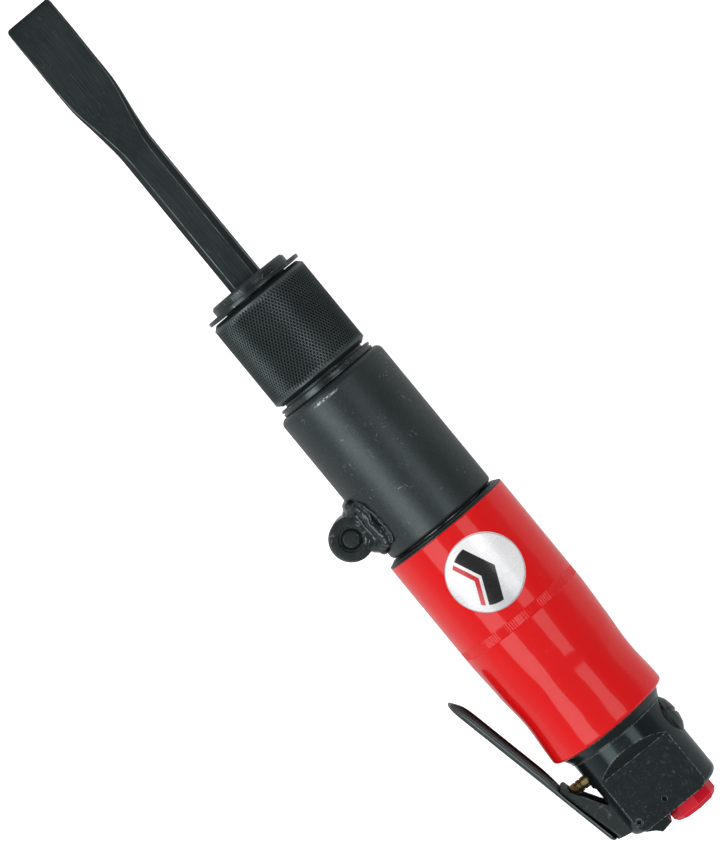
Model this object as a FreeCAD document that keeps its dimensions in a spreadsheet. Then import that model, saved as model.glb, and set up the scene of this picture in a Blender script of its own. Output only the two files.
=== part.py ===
import FreeCAD, Part
import math
import os
import re
import Sketcher

# Inline pneumatic chipping hammer with a flat flux chisel, lying on its side.
# X runs along the tool axis: X = 0 is the nose face (the mouth of the chisel
# socket), -X points out along the chisel and +X back to the air inlet.
# -Y is the throttle lever's side and +Z is up, square to the wrench flats.

doc = FreeCAD.newDocument("AirHammer")
sheet = doc.addObject("Spreadsheet::Sheet", "Sizes")

SIZES = [
    # Chisel: flat blade, forged taper, square shank with chamfered corners.
    ("edge_x", -121.1), ("bevel_x", -114.0), ("blade_x", -86.0),
    ("taper_x", -71.0), ("shank_x", -56.0), ("chisel_rear", 56.0),
    ("blade_wide", 19.05), ("edge_thick", 0.9), ("bevel_thick", 2.8),
    ("blade_thick", 4.0), ("taper_wide", 14.6), ("taper_thick", 8.6),
    ("shank_square", 12.7), ("shank_chamfer", 2.2),
    ("notch_front", 20.6), ("notch_rear", 33.2), ("notch_depth", 1.5),
    # Chisel bush and the quick-lock sleeve that turns on it.
    ("socket_square", 12.8), ("socket_chamfer", 2.15),
    ("flange_rear", 3.4), ("flange_rad", 15.9), ("flange_bevel", 0.9),
    ("seat_rad", 13.0), ("bush_step", 34.0), ("spigot_rad", 10.5),
    ("spigot_end", 52.0), ("washer_rear", 4.9), ("washer_rad", 19.9),
    ("seal_x", 10.0), ("seal_rad", 0.8), ("seal_ring_rad", 12.2),
    ("seal_groove", 1.9), ("seal_floor", 11.35),
    ("sleeve_front", 5.4), ("sleeve_rear", 42.4), ("sleeve_rad", 19.9),
    ("sleeve_bore", 13.05), ("nose_bevel_long", 1.6), ("nose_bevel_deep", 1.8),
    ("tail_bevel_long", 1.5), ("tail_bevel_deep", 2.0),
    ("ball_x", 24.0), ("ball_rad", 3.95), ("ball_height", 9.05),
    ("ball_lift", 1.4), ("ball_hole", 4.0), ("cam_half", 4.1),
    ("thrust_front", 41.0), ("thrust_thick", 2.2), ("thrust_rad", 17.0),
    ("thrust_pocket", 17.25),
    ("lock_front", 43.4), ("lock_rad", 19.7), ("lock_groove", 0.5),
    # Barrel, hammer cylinder and piston.
    ("barrel_front", 46.0), ("barrel_rear", 108.8), ("barrel_rad", 22.35),
    ("barrel_round", 2.6), ("barrel_tail_round", 1.8),
    ("cyl_rad", 17.0), ("cyl_rear", 170.0), ("bore_rad", 12.0),
    ("port_x", 132.0), ("port_rad", 2.5),
    ("piston_front", 56.2), ("piston_long", 45.0), ("piston_rad", 11.95),
    ("piston_neck", 10.9), ("piston_groove", 1.6),
    # Hanging eye welded to the barrel, with its threaded pin.
    ("eye_x", 93.5), ("eye_y", -28.4), ("eye_rad", 8.2), ("eye_half", 9.0),
    ("eye_hole", 3.9), ("eye_mouth", 4.4), ("eye_pin_bevel", 1.0),
    ("weld_half_long", 10.6), ("weld_half_wide", 11.5), ("weld_foot", 24.0),
    # Grip: collar, inner tube, painted sleeve and round badge.
    ("collar_front", 109.3), ("collar_rear", 110.7), ("collar_rad", 24.9),
    ("collar_nose", 22.6), ("tube_rad", 22.0), ("tube_bore", 19.0),
    ("tube_flange", 116.0), ("tube_rear", 199.0),
    ("grip_rear", 201.4), ("grip_rad", 25.0), ("grip_mid_x", 170.0),
    ("grip_mid_rad", 24.5), ("waist_x", 184.4), ("waist_rad", 23.7),
    ("flare_x", 198.5), ("flare_rad", 24.3), ("grip_lip", 1.2),
    ("badge_x", 131.0), ("badge_rad", 14.1), ("badge_thick", 0.12),
    ("badge_turn", 5.0),
    # Valve chest behind the cylinder.
    ("chest_step", 177.0), ("chest_rear", 185.0), ("chest_hole", 4.0),
    ("pocket_front", 172.5), ("pocket_rear", 175.5), ("pocket_rad", 9.3),
    ("plate_thick", 2.0), ("plate_rad", 9.2), ("plate_hole", 3.0),
    ("dowel_ring", 14.5), ("dowel_rad", 1.25), ("dowel_front", 165.0),
    ("dowel_rear", 181.0), ("preload_rad", 10.4), ("preload_bore", 9.2),
    ("muffler_front", 117.0), ("muffler_rear", 160.0), ("muffler_rad", 18.9),
    ("muffler_bore", 17.1),
    # Rear head.
    ("head_front", 187.0), ("boss_rear", 190.0), ("boss_rad", 10.5),
    ("head_spigot", 18.95), ("neck_rad", 21.8), ("neck_end", 204.8),
    ("neck_small", 19.7), ("head_rad", 19.25), ("head_rear", 238.5),
    ("head_round", 2.7), ("flat_height", 12.5), ("ramp_front", 210.3),
    ("ramp_rear", 215.3), ("slot_half", 7.35), ("slot_front", 216.0),
    ("slot_floor", -9.6), ("head_seal_x", 194.5), ("head_seal_ring", 18.2),
    ("head_seal_rad", 0.75), ("head_seal_floor", 17.4),
    ("head_seal_groove", 1.8), ("supply_y", -5.5), ("supply_rad", 3.4),
    ("exhaust_y", -6.6), ("exhaust_z", 10.1), ("exhaust_rad", 1.6),
    ("dimple_x", 233.3), ("dimple_y", -0.85), ("dimple_rad", 0.9),
    ("dimple_deep", 0.8),
    # Air inlet, its screen and the plastic transit plug.
    ("inlet_y", 5.4), ("inlet_bush_rad", 8.4), ("inlet_front", 222.5),
    ("inlet_bore", 5.9), ("inlet_passage", 4.6), ("screen_thick", 1.0),
    ("screen_hole", 0.6), ("plug_rear", 244.6), ("plug_corner", 9.15),
    ("plug_turn", 9.0), ("plug_bevel", 1.6), ("plug_shank", 5.85),
    ("plug_front", 229.0), ("plug_hollow", 4.2),
    ("fin_top", -3.9), ("fin_tip_x", 242.4), ("fin_tip_y", -8.6),
    ("fin_low", -13.8), ("fin_half", 11.2), ("fin_top_x", 241.5),
    # Throttle valve across the head, under the slotted cap.
    ("valve_x", 212.8), ("column_rad", 7.1), ("column_floor", -3.0),
    ("cap_mouth", 8.05), ("cap_rad", 7.95), ("cap_shank", 7.0),
    ("gasket_low", 16.4), ("cap_low", 17.2), ("cap_rim", 19.2),
    ("cap_top", 21.3), ("cap_end", 8.0), ("cap_pocket", 5.2),
    ("pocket_end", 15.4), ("cap_slot_half", 1.0), ("cap_slot_floor", 19.4),
    ("cap_turn", -20.0),
    ("gasket_bore", 7.2), ("seat_top", 1.5), ("seat_hole", 3.5),
    ("throttle_ball", 4.7625), ("throttle_ball_y", 4.8),
    ("spring_low", 8.4), ("spring_high", 15.3), ("spring_rad", 3.6),
    ("spring_wire", 0.4), ("spring_turns", 3.5),
    ("guide_rad", 4.5), ("guide_end", -18.6), ("guide_top", -8.0),
    ("guide_bore", 2.35), ("chamber_rad", 4.4), ("pin_seal_low", -10.6),
    ("pin_seal_high", -9.0), ("pin_seal_rad", 3.4),
    ("pin_rad", 2.3), ("pin_tip", -26.35), ("pin_top", -0.1),
    ("pin_waist", 2.05),
    # Throttle lever: pressed channel with a clevis bracket inside it.
    ("pivot_x", 234.3), ("pivot_y", -13.1), ("lever_slope", 11.9),
    ("lever_face", 11.64), ("lever_depth", 2.4), ("gauge", 1.5),
    ("flange_start", -68.0), ("flange_fade", -46.0),
    ("lever_tip", -77.6), ("lever_tail", -1.6), ("lever_half", 8.7),
    ("lever_corner", 6.0), ("bracket_half", 7.15), ("bracket_front", -27.0),
    ("cheek_x", -13.8), ("cheek_top", 3.94),
    ("bracket_tail", -1.2), ("eyelet_rad", 3.0), ("pivot_pin", 1.3),
    ("pivot_hole", 1.36), ("pivot_half", 12.2), ("pivot_hollow", 0.75),
    ("tab_rad", 1.2),
]


def fill_sheet():
    """Write each driving dimension as a plain number with its alias."""
    for row, (alias, value) in enumerate(SIZES, start=1):
        sheet.set(f"A{row}", alias)
        sheet.set(f"B{row}", str(value))
        sheet.setAlias(f"B{row}", alias)
    doc.recompute()


ALIASES = {alias for alias, value in SIZES}


def bound(text):
    """Turn a formula in sheet words into a FreeCAD expression."""
    return re.sub(r"[a-z_]+", lambda m: f"Sizes.{m[0]}" if m[0] in ALIASES else m[0], text)


def size(text):
    """The value of a formula in sheet words."""
    numbers = {alias: float(sheet.get(alias)) for alias in ALIASES if alias in text}
    return work_out(text, numbers)


def work_out(text, numbers):
    """Add up the signed terms of a formula, each a product or a quotient."""
    total = 0.0
    for sign, term in re.findall(r"([+-]?)\s*([a-z_0-9.*/ ]+)", text):
        value = 1.0
        for operator, factor in re.findall(r"([*/]?)\s*([a-z_0-9.]+)", term):
            number = numbers[factor] if factor in numbers else float(factor)
            value = value / number if operator == "/" else value * number
        total += -value if sign == "-" else value
    return total


def new_body(label):
    body = doc.addObject("PartDesign::Body", label)
    body.Label = label
    return body


def new_sketch(body, name, role="XY_Plane", offset=None):
    """A sketch on one of the body's own origin planes, moved along its normal."""
    sketch = body.newObject("Sketcher::SketchObject", f"{body.Label}_{name}")
    plane = next(f for f in body.Origin.OriginFeatures if f.Role == role)
    sketch.AttachmentSupport = [(plane, "")]
    sketch.MapMode = "FlatFace"
    if offset is not None:
        sketch.setExpression("AttachmentOffset.Base.z", bound(offset))
    return sketch


def pin_point(sketch, geometry, vertex, x, y):
    """Fix one vertex of a sketch at the two formulas' distances from its origin."""
    for kind, axis, text in (("DistanceX", -2, x), ("DistanceY", -1, y)):
        value = size(text)
        if abs(value) < 1e-9:
            sketch.addConstraint(Sketcher.Constraint("PointOnObject", geometry, vertex, axis))
            continue
        ends = (-1, 1, geometry, vertex) if value > 0 else (geometry, vertex, -1, 1)
        number = sketch.addConstraint(Sketcher.Constraint(kind, *ends, abs(value)))
        formula = bound(text) if value > 0 else f"-({bound(text)})"
        sketch.setExpression(f"Constraints[{number}]", formula)


def add_outline(sketch, points):
    """A closed run of straight lines through points given as pairs of formulas."""
    places = [FreeCAD.Vector(size(x), size(y), 0) for x, y in points]
    first = sketch.GeometryCount
    count = len(points)
    for a, b in zip(places, places[1:] + places[:1]):
        sketch.addGeometry(Part.LineSegment(a, b), False)
    for k in range(count):
        after = first + (k + 1) % count
        sketch.addConstraint(Sketcher.Constraint("Coincident", first + k, 2, after, 1))
    for k, (x, y) in enumerate(points):
        pin_point(sketch, first + k, 1, x, y)


def add_circle(sketch, x, y, radius):
    centre = FreeCAD.Vector(size(x), size(y), 0)
    circle = Part.Circle(centre, FreeCAD.Vector(0, 0, 1), size(radius))
    number = sketch.addGeometry(circle, False)
    pin_point(sketch, number, 3, x, y)
    rule = sketch.addConstraint(Sketcher.Constraint("Radius", number, size(radius)))
    sketch.setExpression(f"Constraints[{rule}]", bound(radius))


def revolve(body, name, points, kind="Revolution"):
    """Turn an outline of (station, radius) pairs round the body's X axis."""
    sketch = new_sketch(body, f"{name}_outline")
    add_outline(sketch, points)
    feature = body.newObject(f"PartDesign::{kind}", f"{body.Label}_{name}")
    feature.Profile = sketch
    feature.ReferenceAxis = (sketch, ["H_Axis"])
    feature.Angle = 360
    doc.recompute()
    return feature


def sweep_straight(body, name, kind, sketch, length=None, centred=False, backwards=False):
    """A Pad or Pocket of a sketch; with no length it goes through everything."""
    feature = body.newObject(f"PartDesign::{kind}", f"{body.Label}_{name}")
    feature.Profile = sketch
    if length is None:
        feature.Type = 1
    else:
        feature.setExpression("Length", bound(length))
    feature.Midplane = centred
    feature.Reversed = backwards
    before = body.Shape.Volume if kind == "Pocket" else 0
    doc.recompute()
    if kind == "Pocket" and not feature.Shape.Volume < before - 1e-6:
        raise RuntimeError(f"{feature.Name} cuts nothing")
    return feature


def round_hole(body, name, x, y, radius, start, length, role="YZ_Plane"):
    """A round pocket along the plane's normal, from start for length."""
    sketch = new_sketch(body, f"{name}_circle", role, start)
    add_circle(sketch, x, y, radius)
    return sweep_straight(body, name, "Pocket", sketch, length, backwards=True)


def ring_edges(shape, station, radius):
    """Names of the full circles of this radius round the X axis at a station."""
    names = []
    for number, edge in enumerate(shape.Edges, start=1):
        curve = edge.Curve
        if not isinstance(curve, Part.Circle):
            continue
        if abs(curve.Radius - radius) < 1e-3 and abs(curve.Center.x - station) < 1e-3:
            names.append(f"Edge{number}")
    return names


def round_ring(body, name, station, radius, fillet, kind="Fillet"):
    """Fillet or chamfer the circle at a station and radius of a turned body."""
    base = body.Tip
    edges = ring_edges(base.Shape, size(station), size(radius))
    feature = body.newObject(f"PartDesign::{kind}", f"{body.Label}_{name}")
    feature.Base = (base, edges)
    feature.setExpression("Radius" if kind == "Fillet" else "Size", bound(fillet))
    doc.recompute()
    return feature


def washer(label, front, rear, outer, inner):
    body = new_body(label)
    revolve(body, "ring", [(front, inner), (rear, inner), (rear, outer), (front, outer)])
    return body


def o_ring(label, station, ring, section):
    """A torus round the X axis."""
    torus = doc.addObject("Part::Torus", label)
    torus.Label = label
    torus.setExpression("Radius1", bound(ring))
    torus.setExpression("Radius2", bound(section))
    torus.Placement = FreeCAD.Placement(FreeCAD.Vector(), FreeCAD.Rotation(FreeCAD.Vector(0, 1, 0), 90))
    torus.setExpression("Placement.Base.x", bound(station))
    return torus


def onto_column(item, spin=0.0):
    """Turn a piece built along X onto the throttle valve's axis along +Y."""
    stand_up = FreeCAD.Rotation(FreeCAD.Vector(0, 0, 1), 90)
    spun = FreeCAD.Rotation(FreeCAD.Vector(1, 0, 0), spin)
    item.Placement = FreeCAD.Placement(FreeCAD.Vector(), stand_up * spun)
    item.setExpression("Placement.Base.x", bound("valve_x"))
    return item


def onto_lever(item):
    """Put a piece at the pivot: x along the lever, y across it, z out of its face."""
    turn = FreeCAD.Rotation(FreeCAD.Vector(0, 0, 1), size("lever_slope"))
    lay_down = FreeCAD.Rotation(FreeCAD.Vector(1, 0, 0), 90)
    pivot = FreeCAD.Vector(size("pivot_x"), size("pivot_y"), 0)
    item.Placement = FreeCAD.Placement(pivot, turn * lay_down)
    return item


# ---------------------------------------------------------------- chisel

def octagon(width, height, chamfer):
    """Corners of a rectangle with cut corners, as formulas about its centre."""
    across, up = f"{width} / 2", f"{height} / 2"
    side, top = f"{across} - {chamfer}", f"{up} - {chamfer}"
    minus_across, minus_up = f"0 - {across}", f"0 - {up}"
    minus_side, minus_top = f"{minus_across} + {chamfer}", f"{minus_up} + {chamfer}"
    return [
        (side, minus_up), (across, minus_top), (across, top), (side, up),
        (minus_side, up), (minus_across, top), (minus_across, minus_top), (minus_side, minus_up),
    ]


def make_chisel():
    body = new_body("chisel")
    stations = [
        ("shank_x", "shank_square", "shank_square", "shank_chamfer"),
        ("taper_x", "taper_wide", "taper_thick", "shank_chamfer * 0.6"),
        ("blade_x", "blade_wide", "blade_thick", "shank_chamfer * 0.35"),
        ("bevel_x", "blade_wide", "bevel_thick", "shank_chamfer * 0.25"),
        ("edge_x", "blade_wide", "edge_thick", "edge_thick * 0.3"),
    ]
    sections = []
    for number, (station, wide, thick, chamfer) in enumerate(stations):
        sketch = new_sketch(body, f"section_{number}", "YZ_Plane", station)
        add_outline(sketch, octagon(wide, thick, chamfer))
        sections.append(sketch)
    doc.recompute()
    blade = body.newObject("PartDesign::AdditiveLoft", "chisel_blade")
    blade.Profile = sections[0]
    blade.Sections = sections[1:]
    blade.Ruled = True
    doc.recompute()
    shank = new_sketch(body, "shank_section", "YZ_Plane", "shank_x")
    add_outline(shank, octagon("shank_square", "shank_square", "shank_chamfer"))
    sweep_straight(body, "shank", "Pad", shank, "chisel_rear - shank_x")
    notch = new_sketch(body, "notch_outline", "XZ_Plane")
    floor = "shank_square / 2 - notch_depth"
    top = "shank_square / 2 + 1"
    add_outline(notch, [
        ("notch_front", floor), ("notch_rear", floor), ("notch_rear", top), ("notch_front", top),
    ])
    sweep_straight(body, "notch", "Pocket", notch, "shank_square * 2", centred=True)
    return body


# ---------------------------------------------------------------- quick-lock

def make_chisel_bush():
    body = new_body("chisel_bush")
    revolve(body, "turned", [
        ("0", "0"), ("0", "flange_rad - flange_bevel"), ("flange_bevel", "flange_rad"),
        ("flange_rear", "flange_rad"), ("flange_rear", "seat_rad"), ("bush_step", "seat_rad"),
        ("bush_step", "spigot_rad"), ("spigot_end", "spigot_rad"), ("spigot_end", "0"),
    ])
    socket = new_sketch(body, "socket", "YZ_Plane", "0 - 1")
    add_outline(socket, octagon("socket_square", "socket_square", "socket_chamfer"))
    sweep_straight(body, "square_socket", "Pocket", socket, "spigot_end + 2", backwards=True)
    round_hole(body, "ball_hole", "ball_x", "0", "ball_hole", "socket_square / 4", "seat_rad", "XY_Plane")
    low = "seal_x - seal_groove / 2"
    high = "seal_x + seal_groove / 2"
    revolve(body, "seal_groove", [
        (low, "seal_floor"), (high, "seal_floor"), (high, "seat_rad + 1"), (low, "seat_rad + 1"),
    ], "Groove")
    return body


def make_knurled_sleeve():
    body = new_body("knurled_sleeve")
    revolve(body, "turned", [
        ("sleeve_front", "sleeve_bore"), ("sleeve_front", "sleeve_rad - nose_bevel_deep"),
        ("sleeve_front + nose_bevel_long", "sleeve_rad"), ("sleeve_rear - tail_bevel_long", "sleeve_rad"),
        ("sleeve_rear", "sleeve_rad - tail_bevel_deep"), ("sleeve_rear", "thrust_pocket"),
        ("thrust_front", "thrust_pocket"), ("thrust_front", "sleeve_bore"),
    ])
    cam = new_sketch(body, "cam_outline", "YZ_Plane", "ball_x - cam_half")
    add_cam(cam)
    sweep_straight(body, "ball_cam", "Pocket", cam, "cam_half * 2", backwards=True)
    return body


def add_cam(sketch):
    """The lock ball's ramp: a pocket whose wall climbs away from the axis.

    The wall starts at the bore over the ball (+Z) and gains the ball's lift
    in the 60 degrees before it, so turning the sleeve frees the ball.
    """
    def on_wall(degrees, radius):
        angle = math.radians(degrees)
        return FreeCAD.Vector(radius * math.cos(angle), radius * math.sin(angle), 0)

    bore, lift = size("sleeve_bore"), size("ball_lift")
    start = on_wall(92, bore)
    middle = on_wall(60, bore + lift * 0.56)
    finish = on_wall(12, bore + lift * 1.15)
    centre = FreeCAD.Vector()
    sketch.addGeometry(Part.Arc(start, middle, finish), False)
    sketch.addGeometry(Part.LineSegment(finish, centre), False)
    sketch.addGeometry(Part.LineSegment(centre, start), False)


def make_lock_ball():
    ball = doc.addObject("Part::Sphere", "lock_ball")
    ball.Label = "lock_ball"
    ball.setExpression("Radius", bound("ball_rad"))
    ball.setExpression("Placement.Base.x", bound("ball_x"))
    ball.setExpression("Placement.Base.z", bound("ball_height"))
    return ball


def make_lock_ring():
    body = new_body("lock_ring")
    middle = "lock_front / 2 + barrel_front / 2"
    revolve(body, "turned", [
        ("lock_front", "seat_rad"), ("barrel_front", "seat_rad"),
        ("barrel_front", "lock_rad - lock_groove"), ("barrel_front - lock_groove", "lock_rad"),
        (f"{middle} + lock_groove / 2", "lock_rad"), (middle, "lock_rad - lock_groove / 2"),
        (f"{middle} - lock_groove / 2", "lock_rad"), ("lock_front + lock_groove", "lock_rad"),
        ("lock_front", "lock_rad - lock_groove"),
    ])
    return body


# ---------------------------------------------------------------- barrel

def make_thrust_washer():
    """The washer between the sleeve and the lock ring, with a little end play."""
    front = "thrust_front + 0.1"
    return washer("thrust_washer", front, f"{front} + thrust_thick", "thrust_rad", "sleeve_bore")


def make_barrel():
    body = new_body("barrel")
    revolve(body, "turned", [
        ("bush_step", "spigot_rad"), ("bush_step", "seat_rad"), ("barrel_front", "seat_rad"),
        ("barrel_front", "barrel_rad"), ("barrel_rear", "barrel_rad"), ("barrel_rear", "cyl_rad"),
        ("spigot_end", "cyl_rad"), ("spigot_end", "spigot_rad"),
    ])
    round_ring(body, "front_round", "barrel_front", "barrel_rad", "barrel_round")
    round_ring(body, "rear_round", "barrel_rear", "barrel_rad", "barrel_tail_round")
    return body


def make_lug_eye():
    body = new_body("lug_eye")
    sketch = new_sketch(body, "rim")
    add_circle(sketch, "eye_x", "eye_y", "eye_rad")
    add_circle(sketch, "eye_x", "eye_y", "eye_hole")
    sweep_straight(body, "boss", "Pad", sketch, "eye_half * 2", centred=True)
    revolve(body, "saddle", [
        ("eye_x - eye_rad * 2", "0"), ("eye_x + eye_rad * 2", "0"),
        ("eye_x + eye_rad * 2", "barrel_rad"), ("eye_x - eye_rad * 2", "barrel_rad"),
    ], "Groove")
    sketch = new_sketch(body, "mouth_circle", "XY_Plane", "eye_half - eye_mouth + eye_hole")
    add_circle(sketch, "eye_x", "eye_y", "eye_mouth")
    sweep_straight(body, "mouth", "Pocket", sketch, "eye_mouth", backwards=True)
    return body


def make_lug_pin():
    body = new_body("lug_pin")
    sketch = new_sketch(body, "round")
    add_circle(sketch, "eye_x", "eye_y", "eye_hole")
    sweep_straight(body, "shaft", "Pad", sketch, "eye_half * 2 - 0.4", centred=True)
    pin = body.Tip
    rims = []
    for number, edge in enumerate(pin.Shape.Edges, start=1):
        if isinstance(edge.Curve, Part.Circle):
            rims.append(f"Edge{number}")
    bevel = body.newObject("PartDesign::Chamfer", "lug_pin_bevel")
    bevel.Base = (pin, rims)
    bevel.setExpression("Size", bound("eye_pin_bevel"))
    doc.recompute()
    return body


def make_lug_weld():
    """The weld bead that fills the corner between the barrel and the eye."""
    reach = size("weld_half_long")
    wide = size("weld_half_wide")
    eye = FreeCAD.Vector(size("eye_x"), size("eye_y"), 0)
    foot = FreeCAD.Vector(size("eye_x"), 0, 0)
    base = Part.makeSphere(1.0)
    stretch = FreeCAD.Matrix()
    stretch.scale(FreeCAD.Vector(reach, size("weld_foot") - size("barrel_rad") + 7, wide))
    bead = base.transformGeometry(stretch)
    bead.translate(foot - FreeCAD.Vector(0, size("barrel_rad") - 1, 0))
    along = FreeCAD.Vector(1, 0, 0)
    barrel = Part.makeCylinder(size("barrel_rad"), 80, foot - along * 40, along)
    boss = Part.makeCylinder(size("eye_rad"), 60, eye - FreeCAD.Vector(0, 0, 30))
    weld = doc.addObject("Part::Feature", "lug_weld")
    weld.Label = "lug_weld"
    weld.Shape = bead.cut(barrel.fuse(boss))
    return weld


def make_cylinder():
    body = new_body("cylinder")
    revolve(body, "turned", [
        ("spigot_end", "bore_rad"), ("cyl_rear", "bore_rad"),
        ("cyl_rear", "cyl_rad"), ("spigot_end", "cyl_rad"),
    ])
    sketch = new_sketch(body, "port_circle")
    add_circle(sketch, "port_x", "0", "port_rad")
    sweep_straight(body, "side_ports", "Pocket", sketch, "cyl_rad * 3", centred=True)
    sketch = new_sketch(body, "cross_circle", "XZ_Plane")
    add_circle(sketch, "port_x", "0", "port_rad")
    sweep_straight(body, "cross_ports", "Pocket", sketch, "cyl_rad * 3", centred=True)
    dowel_holes(body, "dowel_front", "cyl_rear - dowel_front + 1")
    return body


def make_piston():
    body = new_body("piston")
    rear = "piston_front + piston_long"
    groove = f"{rear} - 12"
    revolve(body, "turned", [
        ("piston_front", "0"), ("piston_front", "piston_neck - 1"), ("piston_front + 1", "piston_neck"),
        ("piston_front + 5", "piston_neck"), ("piston_front + 6", "piston_rad"),
        (groove, "piston_rad"), (groove, "piston_rad - 0.5"),
        (f"{groove} + piston_groove", "piston_rad - 0.5"), (f"{groove} + piston_groove", "piston_rad"),
        (f"{rear} - 0.8", "piston_rad"), (rear, "piston_rad - 0.8"), (rear, "0"),
    ])
    return body


# ---------------------------------------------------------------- grip

def make_front_collar():
    body = new_body("front_collar")
    revolve(body, "turned", [
        ("collar_front", "cyl_rad"), ("collar_front", "collar_nose"),
        ("collar_rear - 0.5", "collar_rad"), ("collar_rear", "collar_rad"), ("collar_rear", "cyl_rad"),
    ])
    return body


def make_handle_tube():
    body = new_body("handle_tube")
    revolve(body, "turned", [
        ("collar_rear", "cyl_rad"), ("collar_rear", "tube_rad"), ("tube_rear", "tube_rad"),
        ("tube_rear", "tube_bore"), ("tube_flange", "tube_bore"), ("tube_flange", "cyl_rad"),
    ])
    return body


def make_grip_sleeve():
    """The painted sleeve: straight, drawn in to a waist, flared at the back."""
    body = new_body("grip_sleeve")
    sketch = new_sketch(body, "outline")

    def at(x, y):
        return FreeCAD.Vector(size(x), size(y), 0)

    front_in = at("collar_rear", "tube_rad")
    front_out = at("collar_rear", "grip_rad")
    start_neck = at("grip_mid_x", "grip_mid_rad")
    waist = at("waist_x", "waist_rad")
    flare = at("flare_x", "flare_rad")
    lip = at("grip_rear", "flare_rad - grip_lip")
    rear_in = at("grip_rear", "tube_rad")
    straight_end = at("grip_mid_x - 18", "grip_rad")
    for piece in (
        Part.LineSegment(front_in, front_out),
        Part.LineSegment(front_out, straight_end),
        Part.LineSegment(straight_end, start_neck),
        Part.Arc(start_neck, waist, flare),
        Part.LineSegment(flare, lip),
        Part.LineSegment(lip, rear_in),
        Part.LineSegment(rear_in, front_in),
    ):
        sketch.addGeometry(piece, False)
    grip = body.newObject("PartDesign::Revolution", "grip_sleeve_turned")
    grip.Profile = sketch
    grip.ReferenceAxis = (sketch, ["H_Axis"])
    grip.Angle = 360
    doc.recompute()
    return body


def make_name_badge():
    """A thin round plate that follows the grip's straight surface."""
    centre = FreeCAD.Vector(size("badge_x"), 0, 0)
    along = FreeCAD.Vector(1, 0, 0)
    start = centre - FreeCAD.Vector(30, 0, 0)
    outer = Part.makeCylinder(size("grip_rad") + size("badge_thick"), 60, start, along)
    inner = Part.makeCylinder(size("grip_rad"), 60, start, along)
    turn = math.radians(size("badge_turn"))
    outward = FreeCAD.Vector(0, math.sin(turn), math.cos(turn))
    punch = Part.makeCylinder(size("badge_rad"), 40, centre, outward)
    badge = doc.addObject("Part::Feature", "name_badge")
    badge.Label = "name_badge"
    badge.Shape = punch.common(outer.cut(inner))
    return badge


# ---------------------------------------------------------------- valve chest

def dowel_holes(body, start, length):
    """The two dowel holes, left and right of the axis."""
    sketch = new_sketch(body, "dowel_circles", "YZ_Plane", start)
    add_circle(sketch, "dowel_ring", "0", "dowel_rad")
    add_circle(sketch, "0 - dowel_ring", "0", "dowel_rad")
    return sweep_straight(body, "dowel_holes", "Pocket", sketch, length, backwards=True)


def make_valve_box():
    body = new_body("valve_box")
    revolve(body, "turned", [
        ("cyl_rear", "chest_hole"), ("pocket_front", "chest_hole"), ("pocket_front", "pocket_rad"),
        ("chest_step", "pocket_rad"), ("chest_step", "cyl_rad"), ("cyl_rear", "cyl_rad"),
    ])
    dowel_holes(body, "cyl_rear - 1", "chest_step - cyl_rear + 2")
    return body


def make_valve_plate():
    body = new_body("valve_plate")
    front = "pocket_front + 0.05"
    rear = "pocket_front + 0.05 + plate_thick"
    revolve(body, "turned", [
        (front, "plate_hole"), (rear, "plate_hole"), (rear, "plate_rad"), (front, "plate_rad"),
    ])
    return body


def make_valve_cover():
    body = new_body("valve_cover")
    revolve(body, "turned", [
        ("pocket_rear", "chest_hole"), ("pocket_rear", "pocket_rad"), ("chest_step", "pocket_rad"),
        ("chest_step", "cyl_rad"), ("chest_rear", "cyl_rad"), ("chest_rear", "chest_hole"),
    ])
    dowel_holes(body, "chest_step - 1", "dowel_rear - chest_step + 1")
    return body


def make_valve_dowels():
    """Two dowels that keep the cylinder, valve box and cover in line."""
    body = new_body("valve_dowels")
    sketch = new_sketch(body, "circles", "YZ_Plane", "dowel_front")
    add_circle(sketch, "dowel_ring", "0", "dowel_rad")
    add_circle(sketch, "0 - dowel_ring", "0", "dowel_rad")
    sweep_straight(body, "pins", "Pad", sketch, "dowel_rear - dowel_front")
    return body


# ---------------------------------------------------------------- rear head

def make_rear_head():
    body = new_body("rear_head")
    seal_low = "head_seal_x - head_seal_groove / 2"
    seal_high = "head_seal_x + head_seal_groove / 2"
    revolve(body, "turned", [
        ("head_front", "0"), ("head_front", "boss_rad"), ("boss_rear", "boss_rad"),
        ("boss_rear", "head_spigot"), (seal_low, "head_spigot"), (seal_low, "head_seal_floor"),
        (seal_high, "head_seal_floor"), (seal_high, "head_spigot"), ("grip_rear", "head_spigot"),
        ("grip_rear", "neck_rad"), ("neck_end", "neck_small"), ("neck_end", "head_rad"),
        ("head_rear", "head_rad"), ("head_rear", "0"),
    ])
    round_ring(body, "rear_round", "head_rear", "head_rad", "head_round")
    cut_wrench_flats(body)
    cut_lever_slot(body)
    cut_air_ways(body)
    cut_throttle_column(body)
    across = ("0 - head_rad", "head_rad * 2", "XY_Plane")
    round_hole(body, "pivot_bore", "pivot_x", "pivot_y", "pivot_pin", *across)
    dimple = ("flat_height - dimple_deep", "head_rad", "XY_Plane")
    round_hole(body, "dimple", "dimple_x", "dimple_y", "dimple_rad", *dimple)
    return body


def cut_wrench_flats(body):
    """Two parallel flats that run out forwards up a short ramp."""
    behind = "head_rear + 1"
    for name, sign in (("upper", ""), ("lower", "0 - ")):
        sketch = new_sketch(body, f"{name}_flat_outline", "XZ_Plane")
        slope_top = f"{sign}head_rad"
        clear = f"{sign}head_rad * 1.1"
        add_outline(sketch, [
            ("ramp_front", slope_top), ("ramp_rear", f"{sign}flat_height"),
            (behind, f"{sign}flat_height"), (behind, clear), ("ramp_front", clear),
        ])
        sweep_straight(body, f"{name}_flat", "Pocket", sketch, "head_rad * 4", centred=True)


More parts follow.
